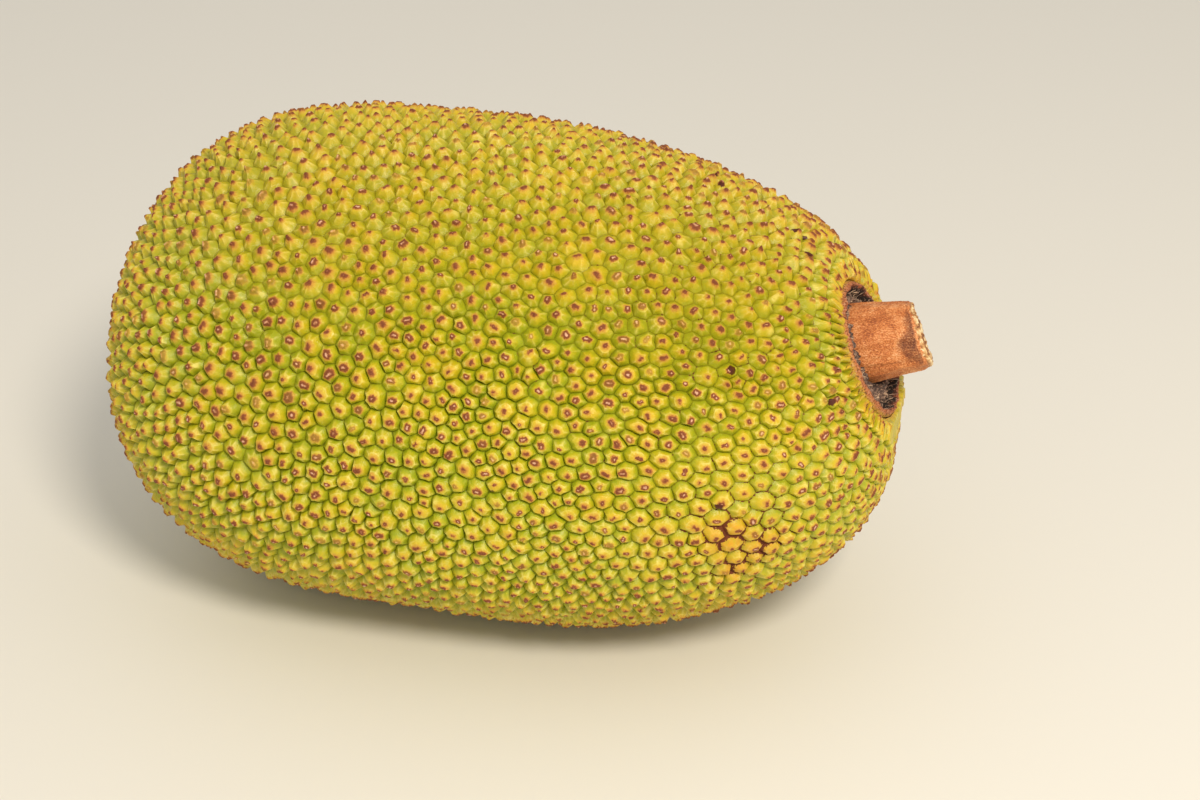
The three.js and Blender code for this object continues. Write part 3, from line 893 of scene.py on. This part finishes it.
rag = add("TexNoise", {
    "Vector": place, "Scale": per_metre(1.4), "Detail": 4.0, "Roughness": 0.65,
})
rag = add("MapRange", {
    "Value": rag, "From Min": 0.25, "From Max": 0.75, "To Min": -MARK_RAG, "To Max": MARK_RAG,
})
ragged = add("Math", {0: known["from_tip"], 1: rag}, operation="ADD")
ragged = add("Math", {0: ragged, 1: known["mark_size"]}, operation="DIVIDE")
closed = add("MapRange", {
    "Value": known["own_number"], "From Min": 0.45, "From Max": 0.55, "To Max": 0.14,
})
along_mark = add("Math", {0: ragged, 1: 0.4, 2: closed}, operation="MULTIPLY_ADD")
mark_colour = set_stops(add("ValToRGB", {"Fac": along_mark}), MARK_STOPS)
mark = add("MapRange", {
    "Value": ragged, "From Min": 0.95, "From Max": 1.75, "To Min": 1.0, "To Max": 0.0,
}, interpolation_type="SMOOTHSTEP")
faintness = add("MapRange", {"Value": known["own_number"], "From Max": 0.2, "To Min": 0.5})
mark = add("Math", {0: mark, 1: faintness}, operation="MULTIPLY")
scab = add("Math", {0: teeth, 1: 0.9, 2: known["scab"]}, operation="MULTIPLY_ADD")
scab = add("MapRange", {"Value": scab, "From Min": 0.78, "From Max": 0.98})
print("nodes so far:", len(rind.node_tree.nodes))

# %% The coats of the rind, one over the other
coats = [  # how far each covers the one before, and its colour
    (valley_green_and_shade, linear("6a6812")), (ridge_glint, linear("ecdf74")), (shoulder_glint, linear("e2d36a")),
    (ripe, linear("f09a2c")), (tint, linear("e09422")), (cork, cork_colour),
    (mark, mark_colour), (scab, linear("52200f")),
]
for cover, colour in coats:
    skin = add("Mix", {"Factor": cover, "A": skin, "B": colour}, data_type="RGBA")

# The living skin has a waxy sheen, and the dead marks and the cork are dull.
dryness = add("Math", {0: mark, 1: cork}, operation="MAXIMUM")
roughness = add("MapRange", {"Value": dryness, "To Min": 0.34, "To Max": 0.8})
grain = add("Math", {0: mottle, 1: 1.4, 2: pores}, operation="MULTIPLY_ADD")
bump = add("Bump", {"Height": grain, "Distance": 0.3 * MM, "Strength": 0.8})
shader = add("BsdfPrincipled", {
    "Base Color": skin, "Roughness": roughness, "Normal": bump,
    "IOR": 1.45, "Specular IOR Level": 0.5,
})
add("OutputMaterial", {"Surface": shader})
for gore in gores:
    dress(gore, "fruit", rind)
print("finish:", rind.name)

# %% [markdown]
# ## The dead collar in the pit
# Where the stalk tears away from the rind, the tissue dries into a reddish lip, splits off in a
# crack that is painted black as shade, and shrinks to grey-brown husk round the stalk, painted darker
# with shade where it sinks in beside the stalk. It is one ring-shaped sheet, so it is laid out as rows
# of points round the pit's axis, each row at its own distance in. Its inner edge follows the hole that
# the stalk stands in. Loose threads of bast lie across the crack.

# %% The collar's profile, and the hole for the stalk
COLLAR_OUTER = 30.2 * MM
COLLAR_FLOOR = -13.7 * MM
COLLAR_LIP = -4 * MM  # the height of its inner edge
COLLAR_PROFILE = [  # mm from the pit's axis, mm above the rim
    (13.3, -4), (15.5, -1.8), (17, -0.2), (18.5, 0.3), (20, -0.1), (21.5, -1), (23, -2.2),
    (24.5, -3), (26, -2.6), (26.8, 0.4), (27.5, 2.2), (28.5, 2.2), (29.5, 1.2), (30.2, 0),
]
HUSK_EDGE = 24.4 * MM  # where the flaking husk ends and the crack begins
HOLE_RADIUS = 18.7 * MM
STALK_SHIFT = 2.6 * MM  # of the stalk's axis from the pit's, to the side
STALK_RISE = 1.6 * MM  # and up
STALK_DROOP = math.radians(9)
STALK_SWAY = math.radians(1.5)


def hole_edge(bearing, height):
    """How far in the pit the stalk's hole begins, seen from the pit's axis."""
    side = STALK_SHIFT + height * math.sin(STALK_SWAY)
    down = height * math.tan(STALK_DROOP) - STALK_RISE
    towards = side * np.cos(bearing) + down * np.sin(bearing)
    return towards + np.sqrt(towards ** 2 - side ** 2 - down ** 2 + HOLE_RADIUS ** 2)


def collar_height(reach, bearing):
    """The collar's top, with its waves of fibre and its flaking husk."""
    around = np.stack([reach * np.cos(bearing), reach * np.sin(bearing), 0 * reach], -1)
    free = smoothstep(COLLAR_OUTER - reach, 0, 3 * MM)
    wandering = reach + waves(around, 6 * MM, 11) * 0.7 * MM * free
    from_axis, heights = np.array(COLLAR_PROFILE).T * MM
    height = np.interp(wandering, from_axis, heights)
    mm_in = reach / MM
    fibre = 0.35 * np.sin(17 * bearing + 0.3 * mm_in) + 0.25 * np.sin(11 * bearing - mm_in)
    fibre += 0.3 * waves(around, 1.9 * MM, 12)
    flakes = waves(around, 3.2 * MM, 13) * 0.6 + waves(around, 1.7 * MM, 14) * 0.35
    flakes *= smoothstep(HUSK_EDGE - reach, 0, 2 * MM)
    return height + (fibre + flakes) * MM * smoothstep(COLLAR_OUTER - reach, 0.2 * MM, 2 * MM)


print("hole's edge from the pit's axis in mm:", (hole_edge(np.zeros(1), COLLAR_LIP) / MM).round(1))


# %% The collar's rows of points
COLLAR_BEARINGS = 288
COLLAR_ROWS = 46
SLEEVE_MARGIN = 0.01


def pit_points(reach, bearing, height):
    return out_of_pit(np.stack([reach * np.cos(bearing), height, reach * np.sin(bearing)], -1)) + HEART


bearing = np.arange(COLLAR_BEARINGS) / COLLAR_BEARINGS * math.tau
edge = hole_edge(bearing, COLLAR_LIP)
across = np.linspace(0, 1, COLLAR_ROWS)[:, None]
reach = COLLAR_OUTER + (edge - COLLAR_OUTER) * across
bearing_grid = np.broadcast_to(bearing, reach.shape)
top = collar_height(reach, bearing_grid)
reach = np.concatenate([[reach[0]], reach, [hole_edge(bearing, COLLAR_FLOOR)]])
height = np.pad(top, ((1, 1), (0, 0)), constant_values=COLLAR_FLOOR)
rows = len(reach)
collar_points = pit_points(reach, np.broadcast_to(bearing, reach.shape), height).reshape(-1, 3)


def sleeve_faces(rows, columns, closed=False):
    """Quads between rows of points that each run round in a ring."""
    row, column = np.mgrid[0:rows if closed else rows - 1, 0:columns]
    this_row, next_row = row * columns, (row + 1) % rows * columns
    beside = (column + 1) % columns
    quads = [this_row + column, this_row + beside, next_row + beside, next_row + column]
    return np.stack(quads, -1).reshape(-1, 4)


def sleeve_map(thing, rows, columns):
    """A map that unrolls a sleeve: round it one way, along its rows the other."""
    row, column = np.mgrid[0:rows, 0:columns]
    corner_shifts = np.array([[0, 0], [1, 0], [1, 1], [0, 1]])
    places = np.stack([column, row], -1).reshape(-1, 1, 2) + corner_shifts
    places = SLEEVE_MARGIN + (1 - 2 * SLEEVE_MARGIN) * places / [columns, rows]
    spare = len(thing.data.loops) - places.size // 2
    places = np.concatenate([places.reshape(-1, 2), np.full((spare, 2), SLEEVE_MARGIN / 2)])
    thing.data.uv_layers.new(name="OFBake").uv.foreach_set("vector", places.astype(np.float32).ravel())


collar = new_mesh("dead_collar", collar_points, [sleeve_faces(rows, COLLAR_BEARINGS, closed=True)])
sleeve_map(collar, rows, COLLAR_BEARINGS)
add_numbers(collar, "inward", np.clip(COLLAR_OUTER - reach, 0, 1).ravel())
print("collar rows:", rows)

# %% Loose threads of bast
THREADS = 260
THREAD_STEPS = 9
THREAD_SIDES = 5
THREAD_RADIUS = (0.09 * MM, 0.24 * MM)
THREAD_LENGTH = (2 * MM, 6.5 * MM)
THREAD_REACH = (20.5, 26.0)  # mm from the pit's axis, at a thread's middle
THREAD_OUTER = 28 * MM
THREAD_HEADING = 0.9  # radians off the way round the pit
THREAD_CURL = 1.2  # mm
THREAD_LIFT = 0.25 * MM
THREAD_ARCH = 0.9  # mm
THREAD_LOWEST = -3 * MM  # threads span the crack instead of lying in it


def tubes(paths, radii):
    """Points and faces of thin closed tubes along paths that all have the same number of points."""
    count, steps, _ = paths.shape
    ahead = unit(np.gradient(paths, axis=1))
    aside = unit(np.cross(ahead, unit(np.array([0.3, 0.2, 1.0]))))
    above = np.cross(ahead, aside)
    turn = np.arange(THREAD_SIDES) / THREAD_SIDES * math.tau
    taper = 0.3 + 0.7 * np.sin(np.linspace(0, math.pi, steps))
    spread = (radii[:, None] * taper)[..., None, None]
    circle = aside[:, :, None] * np.cos(turn)[:, None] + above[:, :, None] * np.sin(turn)[:, None]
    points = (paths[:, :, None] + spread * circle).reshape(-1, 3)
    each = np.arange(count)[:, None, None] * steps * THREAD_SIDES
    sides = (sleeve_faces(steps, THREAD_SIDES)[None] + each).reshape(-1, 4)[:, ::-1]
    first_ring = np.arange(THREAD_SIDES)
    ends = np.array([first_ring, (steps - 1) * THREAD_SIDES + first_ring[::-1]])
    return points, [sides, (ends[None] + each).reshape(-1, THREAD_SIDES)]


start_bearing = draw.uniform(0, math.tau, THREADS)
along_thread = np.linspace(-0.5, 0.5, THREAD_STEPS)
thread_length = draw.uniform(*THREAD_LENGTH, THREADS)[:, None]
heading = draw.normal(0, THREAD_HEADING, THREADS)[:, None]
curl = draw.normal(0, THREAD_CURL, THREADS)[:, None]
middle_reach = draw.uniform(*THREAD_REACH, THREADS)[:, None] * MM
thread_reach = middle_reach + thread_length * along_thread * np.sin(heading)
thread_reach = thread_reach + curl * MM * along_thread ** 2
thread_bearing = start_bearing[:, None] + thread_length * along_thread * np.cos(heading) / middle_reach
thread_inner = hole_edge(thread_bearing, -2 * MM) + 0.6 * MM
thread_reach = np.clip(thread_reach, thread_inner, THREAD_OUTER)
arch = draw.uniform(0, THREAD_ARCH, THREADS)[:, None] * MM * (0.25 - along_thread ** 2) * 4
arch = THREAD_LIFT + arch
thread_height = np.maximum(collar_height(thread_reach, thread_bearing), THREAD_LOWEST) + arch
paths = pit_points(thread_reach, thread_bearing, thread_height)
thread_points, thread_faces = tubes(paths, draw.uniform(*THREAD_RADIUS, THREADS))
threads = new_mesh("bast_threads", thread_points, thread_faces)
print("threads:", THREADS)

# %% Dried husk
# The black of the crack and the darkening into the stalk's hole are painted shade; the reds, browns and
# greys are the husk's own.
COLLAR_AND_SHADE_STOPS = [  # from the rim in to the stalk, over 14 mm
    (0.0, "caa02a"), (0.03, "c08a3c"), (0.07, "b8703f"), (0.17, "a25a34"), (0.21, "6e3822"),
    (0.25, "1e140f"), (0.4, "140f0c"), (0.46, "5c4638"), (0.56, "8f7364"), (0.7, "7d6253"),
    (0.82, "54423a"), (1.0, "2a1e19"),
]
BAST_STOPS = [(0.38, "5d4236"), (0.48, "8d7361"), (0.56, "b99a80"), (0.66, "d9b795")]

# Dried husk is dull and crumbly. Its colour is painted dark as shade where it has sunk in and pale as a
# highlight where a flake stands up.
husk, add = new_material("dried husk")
place = add("TexCoord").outputs["Object"]
inward = add("Attribute", attribute_name="inward").outputs["Fac"]
flakes = add("TexNoise", {"Vector": place, "Scale": per_metre(1.3), "Detail": 4.0})
shifted = add("Math", {0: flakes, 1: 1.6 * MM, 2: inward}, operation="MULTIPLY_ADD")
shifted = add("MapRange", {"Value": shifted, "From Min": 0.8 * MM, "From Max": 14.8 * MM})
husk_colour_and_shade = set_stops(add("ValToRGB", {"Fac": shifted}), COLLAR_AND_SHADE_STOPS)
specks = add("TexNoise", {"Vector": place, "Scale": per_metre(0.8), "Detail": 3.0})
dark = add("MapRange", {"Value": specks, "From Min": 0.47, "From Max": 0.38, "To Max": 0.7})
light = add("MapRange", {"Value": specks, "From Min": 0.55, "From Max": 0.68, "To Max": 0.6})
for cover, colour in ((dark, linear("2b1a12")), (light, linear("c9a284"))):
    husk_colour_and_shade = add("Mix", {"Factor": cover, "A": husk_colour_and_shade, "B": colour}, data_type="RGBA")
bump = add("Bump", {"Height": flakes, "Distance": 0.6 * MM, "Strength": 0.8})
shader = add("BsdfPrincipled", {"Base Color": husk_colour_and_shade, "Normal": bump, "Roughness": 0.85})
add("OutputMaterial", {"Surface": shader})

# Bast is the stringy inner bark, bleached unevenly as it dries.
bast, add = new_material("grey bast")
place = add("TexCoord").outputs["Object"]
shades = add("TexNoise", {"Vector": place, "Scale": per_metre(3)})
shades = set_stops(add("ValToRGB", {"Fac": shades}), BAST_STOPS)
shader = add("BsdfPrincipled", {"Base Color": shades, "Roughness": 0.8})
add("OutputMaterial", {"Surface": shader})
dress(collar, "collar", husk)
dress(threads, "collar", bast)
print("finishes:", husk.name, "and", bast.name)

# %% [markdown]
# ## The sawn stalk
# The stalk is green wood under a thin orange-brown bark, sawn off and left to dry. The bark is
# finely pimpled, with shallow ribs along it. At the cut it is bruised dark on one side, and the wood
# behind it has torn into a pale, fibrous rim. It is turned from a profile, then every point is
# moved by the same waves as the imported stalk, with finer bark on top.

# %% The stalk's profile
STALK_FOOT = 18 * MM  # below the rim
STALK_LENGTH = 42.2 * MM
STALK_RIM_RADIUS = 17.3 * MM
STALK_TIP_RADIUS = 14.6 * MM
STALK_OUT = 24.2 * MM  # of the rim
BARK_START = 1.2 * MM  # above the foot
BARK_END = 2.8 * MM  # below the cut
FLARE_DEPTH = 4 * MM  # below the rim, where the stalk stops getting wider
BARK_ROWS = 74
FIRST_CUT_ROW = 2 + BARK_ROWS  # after two rows across the foot
RIM_PROFILE = [  # from the bark's edge to the middle of the cut: share of the radius, and mm up
    (0.975, -2.0), (0.96, -0.8), (0.93, -0.3), (0.86, 0), (0.8, -0.4), (0.74, -1.1), (0.6, -1.3),
    (0.5, -1.5), (0.4, -1.6), (0.3, -1.5), (0.2, -1.4), (0.1, -1.3), (0.03, -1.3),
]

taper = (STALK_RIM_RADIUS - STALK_TIP_RADIUS) / STALK_OUT
bark_heights = np.linspace(BARK_START, STALK_LENGTH - BARK_END, BARK_ROWS)
bark_radii = STALK_RIM_RADIUS + taper * np.minimum(STALK_FOOT - bark_heights, FLARE_DEPTH)
rim_shares, rim_drops = np.array(RIM_PROFILE).T
heights = np.concatenate([[0, 0], bark_heights, STALK_LENGTH + rim_drops * MM])
radii = np.concatenate([[0.3 * MM, bark_radii[0] - 1 * MM], bark_radii, rim_shares * STALK_TIP_RADIUS])
rows = len(heights)
print("stalk rows:", rows)

# %% Ribs, lumps and the torn cut
CUT_SLOPE = 0.1  # of the saw cut, towards the stalk's underside
CUT_TURN = 0.22  # and from its near side, the longer one, to its far side
STALK_BEARINGS = 260

bearing = np.arange(STALK_BEARINGS) / STALK_BEARINGS * math.tau
radius_grid, height_grid = radii[:, None] + 0 * bearing, heights[:, None] + 0 * bearing
share = radius_grid / STALK_RIM_RADIUS
ribs = 0.25 * np.sin(7 * bearing + 0.8) + 0.2 * np.sin(12 * bearing + 2.1)
torn = 0.7 * np.sin(5 * bearing + 1.0) + 0.5 * np.sin(11 * bearing)
side_in_cut, down_in_cut = radius_grid * np.cos(bearing), radius_grid * np.sin(bearing)
round_place = np.stack([side_in_cut, down_in_cut, height_grid / 5], -1)
row_number = np.arange(rows)[:, None]
is_cut = row_number >= FIRST_CUT_ROW
is_bark = (row_number >= 2) & ~is_cut
lumps = 0.16 * waves(round_place, 2.6 * MM, 21) + 0.1 * waves(round_place * [1, 1, 5], 1.5 * MM, 22)
ribs = ribs + is_bark * lumps
splinters = 0.3 * waves(round_place * [1, 1, 0], 1.7 * MM, 23) * is_cut
upness = (height_grid / STALK_LENGTH) ** 6
sawn = CUT_SLOPE * down_in_cut - CUT_TURN * side_in_cut
sawn = sawn + (torn + 1.1 * splinters) * MM * share ** 4
height_grid = height_grid + upness * sawn + splinters * 0.4 * MM
radius_grid = radius_grid * (1 + 0.02 * np.cos(2 * bearing)) + ribs * MM * share ** 2
print("widest radius in mm:", round(radius_grid.max() / MM, 1))


# %% The stalk in the pit
def turned(up, aside, angle):
    """Turns two coordinates about the third, so that what pointed up leans to the side."""
    cos, sin = math.cos(angle), math.sin(angle)
    return up * cos - aside * sin, up * sin + aside * cos


def out_of_stalk(side, up, down):
    """From the stalk's own frame, whose foot is at its middle, into the frame of the pit."""
    up, side = turned(up - STALK_FOOT, side, STALK_SWAY)
    up, down = turned(up, down, STALK_DROOP)
    return np.stack([side + STALK_SHIFT, up, down - STALK_RISE], -1)


stalk_places = out_of_stalk(radius_grid * np.cos(bearing), height_grid, radius_grid * np.sin(bearing))
stalk_points = out_of_pit(stalk_places).reshape(-1, 3) + HEART
stalk_low, stalk_high = (np.array(corner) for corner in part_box("stalk"))
stalk_points = np.clip(stalk_points, stalk_low, stalk_high)
ring = np.arange(STALK_BEARINGS)[None]
end_faces = [ring, (rows - 1) * STALK_BEARINGS + ring[:, ::-1]]
side_faces = sleeve_faces(rows, STALK_BEARINGS)[:, ::-1]
stalk = new_mesh("sawn_stalk", stalk_points, [side_faces, *end_faces])
sleeve_map(stalk, rows - 1, STALK_BEARINGS)
print("stalk in mm:", ((stalk_points.max(0) - stalk_points.min(0)) / MM).round(1))

# %% Where the bark ends, and its bruise
# Bruises are given as degrees round the stalk, how wide, and mm down from the rim.
BRUISES = [(182, 25, 4.4), (212, 34, 2.4)]

row_lengths = np.hypot(np.diff(radii, prepend=radii[0]), np.diff(heights, prepend=heights[0]))
along_rows = np.cumsum(row_lengths)
before_rim = (along_rows[FIRST_CUT_ROW] - along_rows)[:, None] + 0 * bearing
bruise_start, bruise_end = 0.4 * MM, 1.0 * MM + 0 * bearing
for middle, width, deep in BRUISES:
    off_middle = (np.degrees(bearing) - middle + 180) % 360 - 180
    bruise_end += deep * MM * np.exp(-(off_middle / width) ** 4)
bruised = smoothstep(bruise_end - before_rim, -2.2 * MM, 2 * MM)
bruised = bruised * smoothstep(before_rim - bruise_start, -0.4 * MM, 0.6 * MM)
add_numbers(stalk, "before_rim", before_rim.ravel())
add_numbers(stalk, "bruised", bruised.ravel())
print("bruises:", len(BRUISES))

# %% Bark and torn wood
BARK_STOPS = [(0.25, "8c4620"), (0.4, "b8662f"), (0.52, "d27f43"), (0.62, "e2985c"), (0.76, "f2b988")]
WOOD_STOPS = [(0.3, "6e3a20"), (0.42, "a8703f"), (0.52, "d6a76c"), (0.64, "f2dcae")]
LAYER_WIDTH = 1.9 * MM

# The bark's pimples have little sheen; its colour follows them, painted lighter on their tops as
# highlight and darker between as shade.
bark, add = new_material("dried stalk")
place = add("TexCoord").outputs["Object"]
before_rim, bruised = (
    add("Attribute", attribute_name=name).outputs["Fac"] for name in ("before_rim", "bruised")
)
drawn_out = add("Mapping", {"Vector": place, "Scale": (0.45, 1, 0.9)})
pimples = add("TexNoise", {"Vector": drawn_out, "Scale": per_metre(0.36), "Detail": 2.0})
weathering, fibre, blur = (
    add("TexNoise", {"Vector": place, "Scale": per_metre(size), "Detail": detail})
    for size, detail in ((7, 3), (1.4, 4), (3, 3))
)
tone = add("Math", {0: weathering, 1: 0.6, 2: -0.3}, operation="MULTIPLY_ADD")
tone = add("Math", {0: pimples, 1: tone}, operation="ADD")
skin = set_stops(add("ValToRGB", {"Fac": tone}), BARK_STOPS)

# Torn wood in thin layers, from the rim of the bark inwards.
layers = add("Math", {0: before_rim, 1: math.tau / LAYER_WIDTH}, operation="MULTIPLY")
layers = add("Math", {0: blur, 1: 14.0, 2: layers}, operation="MULTIPLY_ADD")
layers = add("Math", {0: layers}, operation="SINE")
layers = add("Math", {0: layers, 1: 0.06, 2: blur}, operation="MULTIPLY_ADD")
wood = set_stops(add("ValToRGB", {"Fac": layers}), WOOD_STOPS)
ragged = add("Math", {0: fibre, 1: 2.4 * MM, 2: before_rim}, operation="MULTIPLY_ADD")
past_bark = add("MapRange", {
    "Value": ragged, "From Min": 0.6 * MM, "From Max": 1.0 * MM, "To Min": 1.0, "To Max": 0.0,
})

# The bruise is darkest between the pimples.
bruise = add("Math", {0: blur, 1: 1.4, 2: bruised}, operation="MULTIPLY_ADD")
bruise = add("MapRange", {"Value": bruise, "From Min": 0.85, "From Max": 1.8})
streaks = add("MapRange", {"Value": pimples, "From Min": 0.64, "From Max": 0.36, "To Min": 0.6})
bruise = add("Math", {0: bruise, 1: streaks}, operation="MULTIPLY")
for cover, colour in ((bruise, linear("5e2a16")), (past_bark, wood)):
    skin = add("Mix", {"Factor": cover, "A": skin, "B": colour}, data_type="RGBA")
grain = add("Math", {0: pimples, 1: fibre}, operation="ADD")
bump = add("Bump", {"Height": grain, "Distance": 0.35 * MM, "Strength": 0.7})
shader = add("BsdfPrincipled", {"Base Color": skin, "Normal": bump, "Roughness": 0.65})
add("OutputMaterial", {"Surface": shader})
dress(stalk, "stalk", bark)
print("finish:", bark.name)

# %% [markdown]
# ## Floor, light and camera
# A big pale floor that runs out of sight, a bright soft world, and one soft lamp, high in front and
# a little to the right, give the gentle shading of a table near a window.

# %% Camera
CAMERA_AZIMUTH = math.radians(15.58)
CAMERA_ELEVATION = math.radians(30)
CAMERA_DISTANCE = 1041.6 * MM
CAMERA_AIM = Vector((37.5 * MM, -0.5 * MM, 97.6 * MM))
LENS_MM = 70

back = Vector((
    math.sin(CAMERA_AZIMUTH) * math.cos(CAMERA_ELEVATION),
    -math.cos(CAMERA_AZIMUTH) * math.cos(CAMERA_ELEVATION),
    math.sin(CAMERA_ELEVATION),
))


def look_from(thing, place, aim):
    thing.location = place
    thing.rotation_euler = (place - aim).to_track_quat("Z", "Y").to_euler()
    bpy.context.scene.collection.objects.link(thing)


camera = bpy.data.objects.new("camera", bpy.data.cameras.new("camera"))
camera.data.lens = LENS_MM
look_from(camera, CAMERA_AIM + back * CAMERA_DISTANCE, CAMERA_AIM)
bpy.context.scene.camera = camera
print("lens in mm:", LENS_MM)

# %% Lamp and room
LAMP_SIZE = 0.45
LAMP_POWER = 25
LAMP_PLACE = Vector((0.76, -1.06, 1.42))
LAMP_AIM = Vector((0, 0, 0.1))
ROOM_BRIGHTNESS = 0.64

lamp = bpy.data.objects.new("soft_lamp", bpy.data.lights.new("soft_lamp", "AREA"))
lamp.data.shape = "DISK"
lamp.data.size = LAMP_SIZE
lamp.data.energy = LAMP_POWER
lamp.data.color = linear("fff6e6")[:3]
look_from(lamp, LAMP_PLACE, LAMP_AIM)

world = bpy.data.worlds.new("soft room")
world.use_nodes = True
background = world.node_tree.nodes["Background"]
background.inputs["Color"].default_value = linear("fbf8f2")
background.inputs["Strength"].default_value = ROOM_BRIGHTNESS
bpy.context.scene.world = world
bpy.context.scene.view_settings.view_transform = "Standard"
print("lamp:", LAMP_POWER, "W at a height of", round(LAMP_PLACE[2], 2), "m")

# %% Floor
FLOOR_SIZE = 12.0

half = FLOOR_SIZE / 2
floor_corners = [(-half, -half, 0), (half, -half, 0), (half, half, 0), (-half, half, 0)]
floor = new_mesh("floor", floor_corners, [np.array([[0, 1, 2, 3]])])
# Matt paper takes a soft shadow and shows no reflection.
paper, add = new_material("pale paper")
shader = add("BsdfPrincipled", {"Base Color": linear("e9e5dc"), "Roughness": 0.7})
add("OutputMaterial", {"Surface": shader})
floor.data.materials.append(paper)
print("finish:", paper.name)
